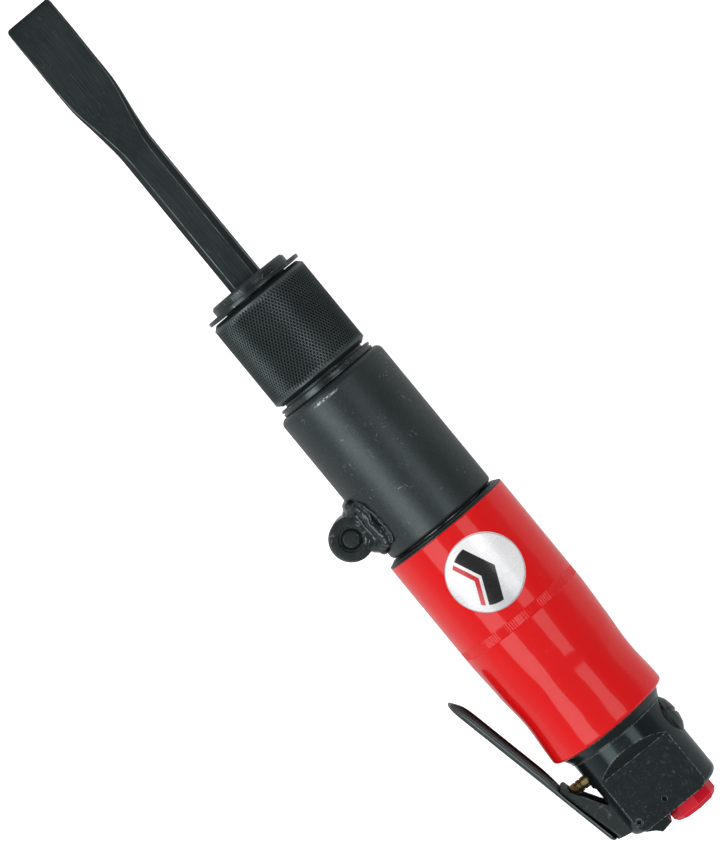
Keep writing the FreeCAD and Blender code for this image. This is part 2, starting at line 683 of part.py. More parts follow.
def cut_lever_slot(body):
    sketch = new_sketch(body, "slot_outline")
    low = "0 - head_rad - 1"
    behind = "head_rear + 1"
    add_outline(sketch, [
        ("slot_front", low), (behind, low), (behind, "slot_floor"), ("slot_front", "slot_floor"),
    ])
    sweep_straight(body, "lever_slot", "Pocket", sketch, "slot_half * 2", centred=True)


def cut_air_ways(body):
    """Inlet seat and passage, the supply to the valve chest, two exhaust holes."""
    seat_long = "head_rear - inlet_front + 1"
    round_hole(body, "inlet_seat", "inlet_y", "0", "inlet_bush_rad", "inlet_front", seat_long)
    way_long = "inlet_front - valve_x + 1"
    round_hole(body, "inlet_way", "inlet_y", "0", "inlet_passage", "valve_x", way_long)
    supply_long = "valve_x - head_front + 1"
    round_hole(body, "supply_way", "supply_y", "0", "supply_rad", "head_front - 1", supply_long)
    for name, sign in (("upper", ""), ("lower", "0 - ")):
        height = f"{sign}exhaust_z"
        reach = "head_rear - boss_rear + 2"
        round_hole(body, f"{name}_exhaust", "exhaust_y", height, "exhaust_rad", "boss_rear - 1", reach)


def cut_throttle_column(body):
    """The stepped bore across the head that holds the throttle valve."""
    steps = [
        ("cap_mouth", "0 - head_rad - 1", "head_rad + 1 - gasket_low"),
        ("column_rad", "0 - gasket_low", "gasket_low - column_floor"),
        ("chamber_rad", "0 - column_floor", "column_floor - guide_top"),
        ("guide_rad", "0 - guide_top", "guide_top + head_rad + 1"),
    ]
    for number, (radius, start, length) in enumerate(steps):
        round_hole(body, f"column_{number}", "valve_x", "0", radius, start, length, "XZ_Plane")


def make_inlet_bush():
    body = new_body("inlet_bush")
    sketch = new_sketch(body, "wall", "YZ_Plane", "inlet_front + screen_thick")
    add_circle(sketch, "inlet_y", "0", "inlet_bush_rad")
    add_circle(sketch, "inlet_y", "0", "inlet_bore")
    sweep_straight(body, "tube", "Pad", sketch, "head_rear - inlet_front - screen_thick")
    return body


def make_inlet_screen():
    """A round sieve plate clamped behind the inlet bush."""
    body = new_body("inlet_screen")
    sketch = new_sketch(body, "disc", "YZ_Plane", "inlet_front")
    add_circle(sketch, "inlet_y", "0", "inlet_bush_rad")
    for ring, count in ((0, 1), (1.7, 6), (3.3, 12)):
        for k in range(count):
            angle = 2 * math.pi * k / count
            across = f"inlet_y + {ring * math.cos(angle):.3f}".replace("+ -", "- ")
            up = f"0 + {ring * math.sin(angle):.3f}".replace("+ -", "- ")
            add_circle(sketch, across, up, "screen_hole")
    sweep_straight(body, "plate", "Pad", sketch, "screen_thick")
    return body


def make_transit_plug():
    """The eight-sided plastic plug that closes the air inlet for transport."""
    body = new_body("transit_plug")
    head = new_sketch(body, "octagon", "YZ_Plane", "head_rear")
    radius, turn = size("plug_corner"), size("plug_turn")
    corners = []
    for k in range(8):
        angle = math.radians(90 - turn + 45 * k)
        corner = FreeCAD.Vector(size("inlet_y") + radius * math.cos(angle), radius * math.sin(angle), 0)
        corners.append(corner)
    for a, b in zip(corners, corners[1:] + corners[:1]):
        head.addGeometry(Part.LineSegment(a, b), False)
    sweep_straight(body, "head", "Pad", head, "plug_rear - head_rear")
    body_head = body.Tip
    rims = []
    for number, edge in enumerate(body_head.Shape.Edges, start=1):
        if all(abs(v.Point.x - size("plug_rear")) < 1e-3 for v in edge.Vertexes):
            rims.append(f"Edge{number}")
    bevel = body.newObject("PartDesign::Chamfer", "transit_plug_bevel")
    bevel.Base = (body_head, rims)
    bevel.setExpression("Size", bound("plug_bevel"))
    doc.recompute()
    shank = new_sketch(body, "shank_circle", "YZ_Plane", "plug_front")
    add_circle(shank, "inlet_y", "0", "plug_shank")
    sweep_straight(body, "shank", "Pad", shank, "head_rear - plug_front + 0.5")
    round_hole(body, "hollow", "inlet_y", "0", "plug_hollow", "plug_front - 1", "head_rear - plug_front")
    return body


def make_exhaust_deflector():
    """A small hood behind the exhaust holes that turns the air to the lever side."""
    body = new_body("exhaust_deflector")
    sketch = new_sketch(body, "outline")

    def at(x, y):
        return FreeCAD.Vector(size(x), size(y), 0)

    top = at("head_rear", "fin_top")
    top_out = at("fin_top_x", "fin_top")
    tip = at("fin_tip_x", "fin_tip_y")
    low = at("head_rear", "fin_low")
    hollow = at("head_rear / 2 + fin_tip_x / 2 - 0.5", "fin_low / 2 + fin_tip_y / 2 + 0.3")
    for piece in (
        Part.LineSegment(top, top_out),
        Part.LineSegment(top_out, tip),
        Part.Arc(tip, hollow, low),
        Part.LineSegment(low, top),
    ):
        sketch.addGeometry(piece, False)
    sweep_straight(body, "hood", "Pad", sketch, "fin_half * 2", centred=True)
    return body


# ---------------------------------------------------------------- throttle

def make_valve_cap():
    """Slotted screw cap with a domed head, built along X before it is turned to +Y."""
    body = new_body("valve_cap")
    revolve(body, "turned", [
        ("cap_end", "cap_pocket"), ("cap_end", "cap_shank"), ("cap_low", "cap_shank"),
        ("cap_low", "cap_rad"), ("cap_rim", "cap_rad"), ("cap_rim + 1.3", "cap_rad * 0.72"),
        ("cap_top", "cap_rad * 0.3"), ("cap_top", "0"), ("pocket_end", "0"), ("pocket_end", "cap_pocket"),
    ])
    sketch = new_sketch(body, "slot_outline")
    high = "cap_top + 1"
    add_outline(sketch, [
        ("cap_slot_floor", "0 - cap_slot_half"), (high, "0 - cap_slot_half"),
        (high, "cap_slot_half"), ("cap_slot_floor", "cap_slot_half"),
    ])
    sweep_straight(body, "slot", "Pocket", sketch, "cap_rad * 3", centred=True)
    return onto_column(body, size("cap_turn"))


def make_throttle_spring():
    """The coil spring between the ball and the inside of the cap."""
    low, high = size("spring_low"), size("spring_high")
    turns, radius, wire = size("spring_turns"), size("spring_rad"), size("spring_wire")
    helix = Part.makeHelix((high - low - 2 * wire) / turns, high - low - 2 * wire, radius)
    start = FreeCAD.Vector(radius, 0, 0)
    section = Part.Wire(Part.makeCircle(wire, start, FreeCAD.Vector(0, 1, 0)))
    coil = Part.Wire(helix).makePipeShell([section], True, True)
    spring = doc.addObject("Part::Feature", "throttle_spring")
    spring.Label = "throttle_spring"
    spring.Shape = coil
    turn = FreeCAD.Rotation(FreeCAD.Vector(1, 0, 0), -90)
    spring.Placement = FreeCAD.Placement(FreeCAD.Vector(size("valve_x"), low + wire, 0), turn)
    return spring


def make_throttle_ball():
    ball = doc.addObject("Part::Sphere", "throttle_ball")
    ball.Label = "throttle_ball"
    ball.setExpression("Radius", bound("throttle_ball"))
    ball.setExpression("Placement.Base.x", bound("valve_x"))
    ball.setExpression("Placement.Base.y", bound("throttle_ball_y"))
    return ball


def make_throttle_seat():
    return onto_column(washer("throttle_seat", "column_floor", "seat_top", "column_rad", "seat_hole"))


def make_pin_guide():
    body = new_body("pin_guide")
    revolve(body, "turned", [
        ("guide_end", "guide_bore"), ("guide_end", "guide_rad"), ("guide_top", "guide_rad"),
        ("guide_top", "guide_bore"), ("pin_seal_high", "guide_bore"), ("pin_seal_high", "pin_seal_rad"),
        ("pin_seal_low", "pin_seal_rad"), ("pin_seal_low", "guide_bore"),
    ])
    return onto_column(body)


def make_valve_pin():
    """The brass push pin: round outer end, two turned grooves."""
    body = new_body("valve_pin")
    sketch = new_sketch(body, "outline")

    def at(x, y):
        return FreeCAD.Vector(size(x), size(y), 0)

    tip = at("pin_tip", "0")
    shoulder = at("pin_tip + pin_rad", "pin_rad")
    bulge = at("pin_tip + pin_rad * 0.29289", "pin_rad * 0.70711")
    end = at("pin_top", "pin_rad")
    inner = at("pin_top", "0")
    for piece in (
        Part.Arc(tip, bulge, shoulder),
        Part.LineSegment(shoulder, end),
        Part.LineSegment(end, inner),
        Part.LineSegment(inner, tip),
    ):
        sketch.addGeometry(piece, False)
    pin = body.newObject("PartDesign::Revolution", "valve_pin_turned")
    pin.Profile = sketch
    pin.ReferenceAxis = (sketch, ["H_Axis"])
    pin.Angle = 360
    doc.recompute()
    for number, station in enumerate(("pin_tip + 3.4", "pin_tip + 4.9")):
        revolve(body, f"groove_{number}", [
            (station, "pin_waist"), (f"{station} + 0.4", "pin_waist"),
            (f"{station} + 0.4", "pin_rad + 0.5"), (station, "pin_rad + 0.5"),
        ], "Groove")
    return onto_column(body)


def make_trigger_lever():
    """The pressed lever: a web whose low side flanges fade out towards both ends."""
    body = new_body("trigger_lever")
    low = "lever_face - lever_depth"
    outer = new_sketch(body, "blank", "XY_Plane", low)
    add_outline(outer, [
        ("lever_tip", "0 - lever_half"), ("lever_tail", "0 - lever_half"),
        ("lever_tail", "lever_half"), ("lever_tip", "lever_half"),
    ])
    sweep_straight(body, "plate", "Pad", outer, "lever_depth")
    blank = body.Tip
    corners = []
    for number, edge in enumerate(blank.Shape.Edges, start=1):
        ends = [v.Point for v in edge.Vertexes]
        at_tip = all(abs(p.x - size("lever_tip")) < 1e-3 for p in ends)
        if at_tip and abs(ends[0].y - ends[1].y) < 1e-3:
            corners.append(f"Edge{number}")
    rounds = body.newObject("PartDesign::Fillet", "trigger_lever_tip")
    rounds.Base = (blank, corners)
    rounds.setExpression("Radius", bound("lever_corner"))
    doc.recompute()
    inner = new_sketch(body, "channel_outline", "XY_Plane", low)
    tip, tail = "lever_tip + gauge", "lever_tail + 1"
    side, corner = "lever_half - gauge", "lever_half - lever_corner"
    other_side, other_corner = "gauge - lever_half", "lever_corner - lever_half"
    add_outline(inner, [
        (tip, other_corner), ("lever_tip + lever_corner", other_side), (tail, other_side),
        (tail, side), ("lever_tip + lever_corner", side), (tip, corner),
    ])
    sweep_straight(body, "channel", "Pocket", inner, "lever_depth - gauge", backwards=True)
    side_view = new_sketch(body, "flange_outline", "XZ_Plane")
    web = "lever_face - gauge"
    below = "lever_face - lever_depth"
    clear = "lever_face - lever_depth * 2"
    add_outline(side_view, [
        ("lever_tip - 1", web), ("lever_tip + gauge", web), ("flange_start", below),
        ("flange_fade", below), ("bracket_front", web), ("lever_tail + 1", web),
        ("lever_tail + 1", clear), ("lever_tip - 1", clear),
    ])
    sweep_straight(body, "flange_trim", "Pocket", side_view, "lever_half * 3", centred=True)
    return onto_lever(body)


def make_lever_bracket():
    """The clevis bracket: its cheeks rise from the channel to the pivot."""
    body = new_body("lever_bracket")
    sketch = new_sketch(body, "cheek_outline", "XZ_Plane")
    web = "lever_face - gauge"
    add_outline(sketch, [
        ("bracket_front", web), ("bracket_front", "lever_face - gauge * 2"),
        ("cheek_x", "cheek_top"), ("0 - eyelet_rad * 0.46", "0 - eyelet_rad * 0.888"),
        ("eyelet_rad * 0.97", "0 - eyelet_rad * 0.24"), ("bracket_tail", web),
    ])
    sweep_straight(body, "cheeks", "Pad", sketch, "bracket_half * 2", centred=True)
    eye = new_sketch(body, "eyelet_circle", "XZ_Plane")
    add_circle(eye, "0", "0", "eyelet_rad")
    sweep_straight(body, "eyelet", "Pad", eye, "bracket_half * 2", centred=True)
    lip = new_sketch(body, "tab_circle", "XZ_Plane")
    add_circle(lip, "bracket_front", "lever_face - gauge - tab_rad", "tab_rad")
    sweep_straight(body, "tab", "Pad", lip, "bracket_half * 2", centred=True)
    gap = new_sketch(body, "gap_outline", "XZ_Plane")
    add_outline(gap, [
        ("bracket_front + tab_rad", "0 - eyelet_rad * 1.5"),
        ("eyelet_rad * 2", "0 - eyelet_rad * 1.5"), ("eyelet_rad * 2", "lever_face - gauge * 2"),
        ("bracket_front + tab_rad", "lever_face - gauge * 2"),
    ])
    sweep_straight(body, "gap", "Pocket", gap, "bracket_half * 2 - gauge * 2", centred=True)
    bore = new_sketch(body, "pivot_circle", "XZ_Plane")
    add_circle(bore, "0", "0", "pivot_hole")
    sweep_straight(body, "pivot_hole", "Pocket", bore, "bracket_half * 4", centred=True)
    return onto_lever(body)


def make_lever_pin():
    """The slotted spring pin that the lever turns on."""
    body = new_body("lever_pin")
    sketch = new_sketch(body, "wall")
    add_circle(sketch, "pivot_x", "pivot_y", "pivot_pin")
    add_circle(sketch, "pivot_x", "pivot_y", "pivot_hollow")
    sweep_straight(body, "tube", "Pad", sketch, "pivot_half * 2", centred=True)
    slit = new_sketch(body, "slit_outline")
    add_outline(slit, [
        ("pivot_x", "pivot_y - 0.2"), ("pivot_x + 2", "pivot_y - 0.2"),
        ("pivot_x + 2", "pivot_y + 0.2"), ("pivot_x", "pivot_y + 0.2"),
    ])
    sweep_straight(body, "slit", "Pocket", slit, "pivot_half * 3", centred=True)
    return body


# ---------------------------------------------------------------- all pieces

def make_all():
    """Every separate piece, from the chisel back to the transit plug."""
    return [
        make_chisel(),
        make_chisel_bush(),
        o_ring("sleeve_o_ring", "seal_x", "seal_ring_rad", "seal_rad"),
        washer("nose_washer", "flange_rear", "washer_rear", "washer_rad", "seat_rad"),
        make_knurled_sleeve(),
        make_lock_ball(),
        make_thrust_washer(),
        make_lock_ring(),
        make_barrel(),
        make_lug_eye(),
        make_lug_pin(),
        make_lug_weld(),
        make_cylinder(),
        make_piston(),
        make_front_collar(),
        make_handle_tube(),
        make_grip_sleeve(),
        make_name_badge(),
        washer("exhaust_muffler", "muffler_front", "muffler_rear", "muffler_rad", "muffler_bore"),
        make_valve_box(),
        make_valve_plate(),
        make_valve_cover(),
        make_valve_dowels(),
        washer("preload_washer", "chest_rear", "head_front", "preload_rad", "preload_bore"),
        make_rear_head(),
        o_ring("head_o_ring", "head_seal_x", "head_seal_ring", "head_seal_rad"),
        make_inlet_bush(),
        make_inlet_screen(),
        make_transit_plug(),
        make_exhaust_deflector(),
        make_valve_cap(),
        onto_column(washer("cap_gasket", "gasket_low", "cap_low", "cap_rad", "gasket_bore")),
        make_throttle_spring(),
        make_throttle_ball(),
        make_throttle_seat(),
        make_pin_guide(),
        onto_column(washer("pin_seal", "pin_seal_low", "pin_seal_high", "pin_seal_rad", "guide_bore")),
        make_valve_pin(),
        make_trigger_lever(),
        make_lever_bracket(),
        make_lever_pin(),
    ]


def check(pieces):
    """Stop before anything is written if an object failed or a piece is not sound."""
    for item in doc.Objects:
        if "Invalid" in item.State or "Error" in item.State:
            raise RuntimeError(f"{item.Name} failed: {item.State}")
    for piece in pieces:
        shape = piece.Shape
        if shape.isNull() or not shape.isValid() or not shape.Solids:
            raise RuntimeError(f"{piece.Label} has no sound solid")


fill_sheet()
parts = make_all()
doc.recompute()
check(parts)
os.makedirs("parts", exist_ok=True)
for part in parts:
    part.Shape.exportStep(f"parts/{part.Label}.step")
    print(f"{part.Label}: {part.Shape.Volume:.1f} mm3, {len(part.Shape.Solids)} solid(s)")
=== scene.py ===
import math
import random

import bmesh
import bpy
from mathutils import Matrix, Vector, noise


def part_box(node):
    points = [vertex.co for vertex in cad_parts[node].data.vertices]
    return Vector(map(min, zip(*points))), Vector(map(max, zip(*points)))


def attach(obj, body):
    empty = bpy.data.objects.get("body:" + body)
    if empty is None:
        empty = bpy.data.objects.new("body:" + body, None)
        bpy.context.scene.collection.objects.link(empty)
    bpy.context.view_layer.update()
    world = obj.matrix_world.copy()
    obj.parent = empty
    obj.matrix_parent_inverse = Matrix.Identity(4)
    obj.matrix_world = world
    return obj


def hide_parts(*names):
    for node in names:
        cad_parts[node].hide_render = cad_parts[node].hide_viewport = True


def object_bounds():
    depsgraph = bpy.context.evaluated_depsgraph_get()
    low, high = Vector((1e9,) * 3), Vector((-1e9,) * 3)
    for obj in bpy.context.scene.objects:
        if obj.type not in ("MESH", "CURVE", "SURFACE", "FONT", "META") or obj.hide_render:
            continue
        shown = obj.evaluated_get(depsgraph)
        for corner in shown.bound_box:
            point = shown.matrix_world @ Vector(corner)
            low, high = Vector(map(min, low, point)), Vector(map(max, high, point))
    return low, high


# The looks of an inline pneumatic chipping hammer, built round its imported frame.
# X is the tool axis (chisel towards -X), -Y the lever's side, +Z up.
# Outlines and sizes are in millimetres; meshes and shader coordinates are in metres.

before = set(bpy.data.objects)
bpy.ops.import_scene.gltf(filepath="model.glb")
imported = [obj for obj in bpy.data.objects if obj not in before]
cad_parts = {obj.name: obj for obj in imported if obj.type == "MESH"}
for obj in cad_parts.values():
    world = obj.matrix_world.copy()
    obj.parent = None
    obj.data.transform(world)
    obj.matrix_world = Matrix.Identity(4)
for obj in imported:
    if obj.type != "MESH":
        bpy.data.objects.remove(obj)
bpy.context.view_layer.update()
MM = 0.001
AXIS_X = Vector((1, 0, 0))

# Frames for straight-sided cuts: a slab's own z turned along +X, along +Y and along -Y.
ALONG_X = Matrix(((0, 0, 1, 0), (1, 0, 0, 0), (0, 1, 0, 0), (0, 0, 0, 1)))
ALONG_Y = Matrix(((1, 0, 0, 0), (0, 0, 1, 0), (0, 1, 0, 0), (0, 0, 0, 1)))
ACROSS = Matrix(((1, 0, 0, 0), (0, 0, -1, 0), (0, 1, 0, 0), (0, 0, 0, 1)))

# The knurl: pits round the sleeve, their depth, their length over their width, and the plain ends.
KNURL_COUNT = 98
KNURL_DEPTH = 0.36
KNURL_STRETCH = 1.6
KNURL_FRONT = 1.9
KNURL_REAR = 1.8

GRIP_SEGMENTS = 336
BADGE_TURN = 5.0
PIT_AT = (233.3, -0.85)
HEAD_RADIUS = 19.25

# The lever in its own frame: outer face, sheet, half width, tip and tail.
FACE = 11.64
GAUGE = 1.5
HALF = 8.7
TIP = -77.6
TAIL = -1.6

MAIN_POWER = 5.4
SIDE_POWER = 0.9
FILL_POWER = 15.5
PAPER_GLOW = 0.80
CAMERA_TILT = 5.0
CAMERA_DISTANCE = 1.4
CAMERA_ROLL = 50.52
CAMERA_LENS = 169.04

# A light wear colour; on the chisel's edges it also stands for painted highlight.
BRIGHT_WEAR_AND_HIGHLIGHT = (0.34, 0.39, 0.39)
DULL_WEAR = (0.30, 0.35, 0.35)


# ---------------------------------------------------------------- shader helpers

def new_material(name):
    """An empty node material: itself, its tree and its surface shader."""
    material = bpy.data.materials.new(name)
    material.use_nodes = True
    tree = material.node_tree
    return material, tree, tree.nodes["Principled BSDF"]


def add_node(tree, kind, inputs=None, **settings):
    """A node with its settings; inputs holds values or sockets to link from."""
    made = tree.nodes.new(kind)
    for key, value in settings.items():
        setattr(made, key, value)
    plug_all(tree, made, inputs or {})
    return made


def plug_all(tree, node, inputs):
    for key, value in inputs.items():
        plug_in(tree, node.inputs[key], value)


def plug_in(tree, socket, value):
    if isinstance(value, bpy.types.NodeSocket):
        tree.links.new(value, socket)
    else:
        socket.default_value = value


def place(tree, scale=(1, 1, 1), turn=(0, 0, 0), shift=(0, 0, 0)):
    """Object coordinates, scaled, turned and shifted."""
    where = add_node(tree, "ShaderNodeTexCoord")
    mapping = add_node(tree, "ShaderNodeMapping", {
        "Vector": where.outputs["Object"], "Scale": scale, "Rotation": turn, "Location": shift,
    })
    return mapping.outputs["Vector"]


def split(tree, vector, axes="XYZ"):
    """A vector's parts along the named axes."""
    parts = add_node(tree, "ShaderNodeSeparateXYZ", {"Vector": vector})
    return [parts.outputs[axis] for axis in axes]


def noise_of(tree, vector, scale, detail=4.0, rough=0.55):
    made = add_node(tree, "ShaderNodeTexNoise", {
        "Vector": vector, "Scale": scale, "Detail": detail, "Roughness": rough,
    })
    return made.outputs["Fac"]


def band(tree, value, low, high, to_low=0.0, to_high=1.0):
    """Stretch a value's range low..high onto to_low..to_high, clamped."""
    made = add_node(tree, "ShaderNodeMapRange", {
        "Value": value, "From Min": low, "From Max": high, "To Min": to_low, "To Max": to_high,
    })
    return made.outputs["Result"]


def mix_colour(tree, factor, a, b):
    """Between two colours, each a socket or red, green and blue."""
    made = add_node(tree, "ShaderNodeMix", data_type="RGBA")
    plug_in(tree, made.inputs[0], factor)
    for socket, colour in ((made.inputs[6], a), (made.inputs[7], b)):
        plug_in(tree, socket, (*colour, 1) if isinstance(colour, tuple) else colour)
    return made.outputs[2]


def calc(tree, operation, a, b=0.0):
    made = add_node(tree, "ShaderNodeMath", operation=operation)
    plug_in(tree, made.inputs[0], a)
    plug_in(tree, made.inputs[1], b)
    return made.outputs["Value"]


def times(tree, a, b):
    return calc(tree, "MULTIPLY", a, b)


def larger(tree, a, b):
    return calc(tree, "MAXIMUM", a, b)


def off(tree, value, middle):
    """How far a value is from a middle one."""
    return calc(tree, "ABSOLUTE", calc(tree, "SUBTRACT", value, middle))


def bump(tree, height, strength, distance):
    made = add_node(tree, "ShaderNodeBump", {"Height": height, "Strength": strength, "Distance": distance})
    return made.outputs["Normal"]


def edge_wear(tree, reach, low, high):
    """Where a surface bends sharply: 0 on faces, 1 on outer edges."""
    rounded_off = add_node(tree, "ShaderNodeBevel", {"Radius": reach}, samples=6)
    plain = add_node(tree, "ShaderNodeNewGeometry")
    same = add_node(tree, "ShaderNodeVectorMath", operation="DOT_PRODUCT")
    tree.links.new(rounded_off.outputs["Normal"], same.inputs[0])
    tree.links.new(plain.outputs["Normal"], same.inputs[1])
    return band(tree, calc(tree, "SUBTRACT", 1.0, same.outputs["Value"]), low, high)


def streaks(tree, turn, scale, length, low, high):
    """Sparse straight scratches: a noise drawn out along one direction, cut off near its peak."""
    where = add_node(tree, "ShaderNodeTexCoord")
    drawn = add_node(tree, "ShaderNodeMapping", {
        "Vector": where.outputs["Object"], "Rotation": (0, 0, math.radians(turn)), "Scale": (length, 1, 1),
    }, vector_type="TEXTURE")
    return band(tree, noise_of(tree, drawn.outputs["Vector"], scale, 1.0, 0.3), low, high)


def marks_of(tree):
    """Short handling scratches in three directions, kept to a few worn patches."""
    lines = streaks(tree, 20, 1500.0, 9, 0.690, 0.730)
    for turn, scale in ((-48, 1700.0), (78, 1300.0)):
        lines = larger(tree, lines, streaks(tree, turn, scale, 8, 0.700, 0.740))
    patches = noise_of(tree, place(tree, shift=(0.3, 0.1, 0.2)), 120.0, 2.0)
    return times(tree, lines, band(tree, patches, 0.54, 0.64))


def around_axis(tree, drawn=0.0015):
    """Coordinates for turned parts: fine along the axis, drawn out round it."""
    x, y, z = split(tree, place(tree))
    turn = calc(tree, "ARCTAN2", z, y)
    made = add_node(tree, "ShaderNodeCombineXYZ", {"X": x, "Y": times(tree, turn, drawn)})
    return made.outputs["Vector"]


def length_of(tree, a, b):
    return calc(tree, "SQRT", calc(tree, "ADD", times(tree, a, a), times(tree, b, b)))


# ---------------------------------------------------------------- materials

def dark_steel(name, base, worn, roughness, grain, wear=0.6, turned=0.0):
    """Blackened steel: mottled coating, fine grain, worn edges and a few scratches."""
    material, tree, surface = new_material(name)
    where = place(tree)
    mottle = noise_of(tree, where, 260.0, 6.0)
    cloud = noise_of(tree, where, 45.0, 4.0)
    fine = noise_of(tree, where, 2400.0, 3.0, 0.7)
    darker = tuple(v * 0.88 for v in base)
    lighter = tuple(v * 1.12 for v in base)
    shade = mix_colour(tree, band(tree, cloud, 0.32, 0.70), darker, lighter)
    shade = mix_colour(tree, band(tree, fine, 0.25, 0.75, 0.0, 0.16), shade, worn)
    edges = times(tree, edge_wear(tree, 0.0005, 0.05, 0.30), band(tree, mottle, 0.44, 0.58))
    lines = marks_of(tree)
    marks = times(tree, larger(tree, times(tree, edges, 0.5), lines), wear)
    height = calc(tree, "ADD", times(tree, fine, grain), times(tree, lines, -0.6))
    if turned:
        rings = noise_of(tree, around_axis(tree), 2600.0, 2.0)
        height = calc(tree, "ADD", height, times(tree, rings, turned))
    plug_all(tree, surface, {
        "Base Color": mix_colour(tree, marks, shade, worn),
        "Metallic": 0.9,
        "Roughness": band(tree, mottle, 0.3, 0.7, roughness - 0.03, roughness + 0.03),
        "Normal": bump(tree, height, 0.4, 0.00010),
    })
    return material


def chip_front_edge(material):
    """A short chain of bright chips just behind the barrel's front edge."""
    tree = material.node_tree
    surface = tree.nodes["Principled BSDF"]
    x, y, z = split(tree, place(tree))
    near_line = band(tree, off(tree, x, 0.0492), 0.0001, 0.0006, 1.0, 0.0)
    near_middle = band(tree, off(tree, y, -0.0022), 0.003, 0.006, 1.0, 0.0)
    chips = band(tree, noise_of(tree, place(tree, (1, 0.5, 1)), 1500.0, 2.0, 0.7), 0.50, 0.56)
    mask = times(tree, times(tree, near_line, near_middle), chips)
    mask = times(tree, mask, band(tree, z, 0.0, 0.001))
    under = surface.inputs["Base Color"].links[0].from_socket
    plug_in(tree, surface.inputs["Base Color"], mix_colour(tree, mask, under, (0.75, 0.80, 0.80)))


def knurl_steel(radius, depth, front, rear):
    """The knurl: painted shade keeps its pits near black, the ridges are rubbed lighter by wear; plain past
    its ends.
    """
    material, tree, surface = new_material("knurled_black")
    x, y, z = split(tree, place(tree))
    height = length_of(tree, y, z)
    ridges = band(tree, height, (radius - depth * 0.75) * MM, (radius - depth * 0.20) * MM)
    before = band(tree, x, front * MM, (front + 0.3) * MM, 1.0, 0.0)
    after = band(tree, x, (rear - 0.3) * MM, rear * MM)
    ridges = larger(tree, ridges, times(tree, larger(tree, before, after), 0.55))
    cloud = noise_of(tree, place(tree), 60.0, 4.0)
    fine = noise_of(tree, place(tree), 2200.0, 3.0)
    rubbed = mix_colour(tree, band(tree, cloud, 0.35, 0.65), (0.088, 0.108, 0.110), (0.120, 0.146, 0.147))
    # The pits' near-black colour is painted shade; the lighter rubbed colour on the ridges is wear.
    plug_all(tree, surface, {
        "Base Color": mix_colour(tree, ridges, (0.008, 0.011, 0.012), rubbed),
        "Metallic": 0.85,
        "Roughness": band(tree, fine, 0.3, 0.7, 0.32, 0.46),
        "Normal": bump(tree, fine, 0.2, 0.00006),
    })
    return material


def chisel_steel():
    """Black-oxide bar steel with lengthwise grinding lines and thin light edge lines, partly worn edges and
    partly painted highlight.
    """
    material, tree, surface = new_material("chisel_black_oxide")
    grind = streaks(tree, 0, 3200.0, 40, 0.30, 0.80)
    cloud = noise_of(tree, place(tree), 70.0, 5.0)
    pores = noise_of(tree, place(tree), 2300.0, 2.0, 0.8)
    shade = mix_colour(tree, band(tree, cloud, 0.35, 0.65), (0.031, 0.041, 0.043), (0.042, 0.053, 0.055))
    shade = mix_colour(tree, times(tree, grind, 0.12), shade, (0.20, 0.24, 0.24))
    in_pores = times(tree, band(tree, pores, 0.60, 0.72), 0.30)
    shade = mix_colour(tree, in_pores, shade, (0.006, 0.008, 0.008))
    # The light lines along the edges are partly wear, partly painted highlight.
    near_edge = add_node(tree, "ShaderNodeAttribute", attribute_name="edge").outputs["Fac"]
    broken = noise_of(tree, place(tree, (0.25, 1, 1)), 500.0, 3.0, 0.7)
    edges = times(tree, band(tree, near_edge, 0.35, 0.9), band(tree, broken, 0.38, 0.56, 0.25, 1.0))
    marks = larger(tree, times(tree, edges, 0.85), times(tree, marks_of(tree), 0.08))
    plug_all(tree, surface, {
        "Base Color": mix_colour(tree, marks, shade, BRIGHT_WEAR_AND_HIGHLIGHT),
        "Metallic": 0.9,
        "Roughness": band(tree, cloud, 0.3, 0.7, 0.42, 0.58),
        "Normal": bump(tree, calc(tree, "ADD", grind, pores), 0.5, 0.00010),
    })
    return material


def red_paint():
    """Glossy red enamel with a faint orange peel and a few hairline scuffs."""
    material, tree, surface = new_material("red_gloss_paint")
    where = place(tree)
    peel = noise_of(tree, where, 380.0, 2.0)
    cloud = noise_of(tree, where, 30.0, 3.0)
    hair = times(tree, marks_of(tree), 0.05)
    colour = mix_colour(tree, cloud, (0.64, 0.0025, 0.0036), (0.70, 0.0036, 0.0048))
    plug_all(tree, surface, {
        "Base Color": mix_colour(tree, hair, colour, (0.8, 0.25, 0.25)),
        "Roughness": band(tree, cloud, 0.3, 0.7, 0.30, 0.40),
        "Specular IOR Level": 0.10,
        "Coat Weight": 0.75,
        "Coat Roughness": 0.09,
        "Normal": bump(tree, peel, 0.12, 0.00010),
    })
    return material


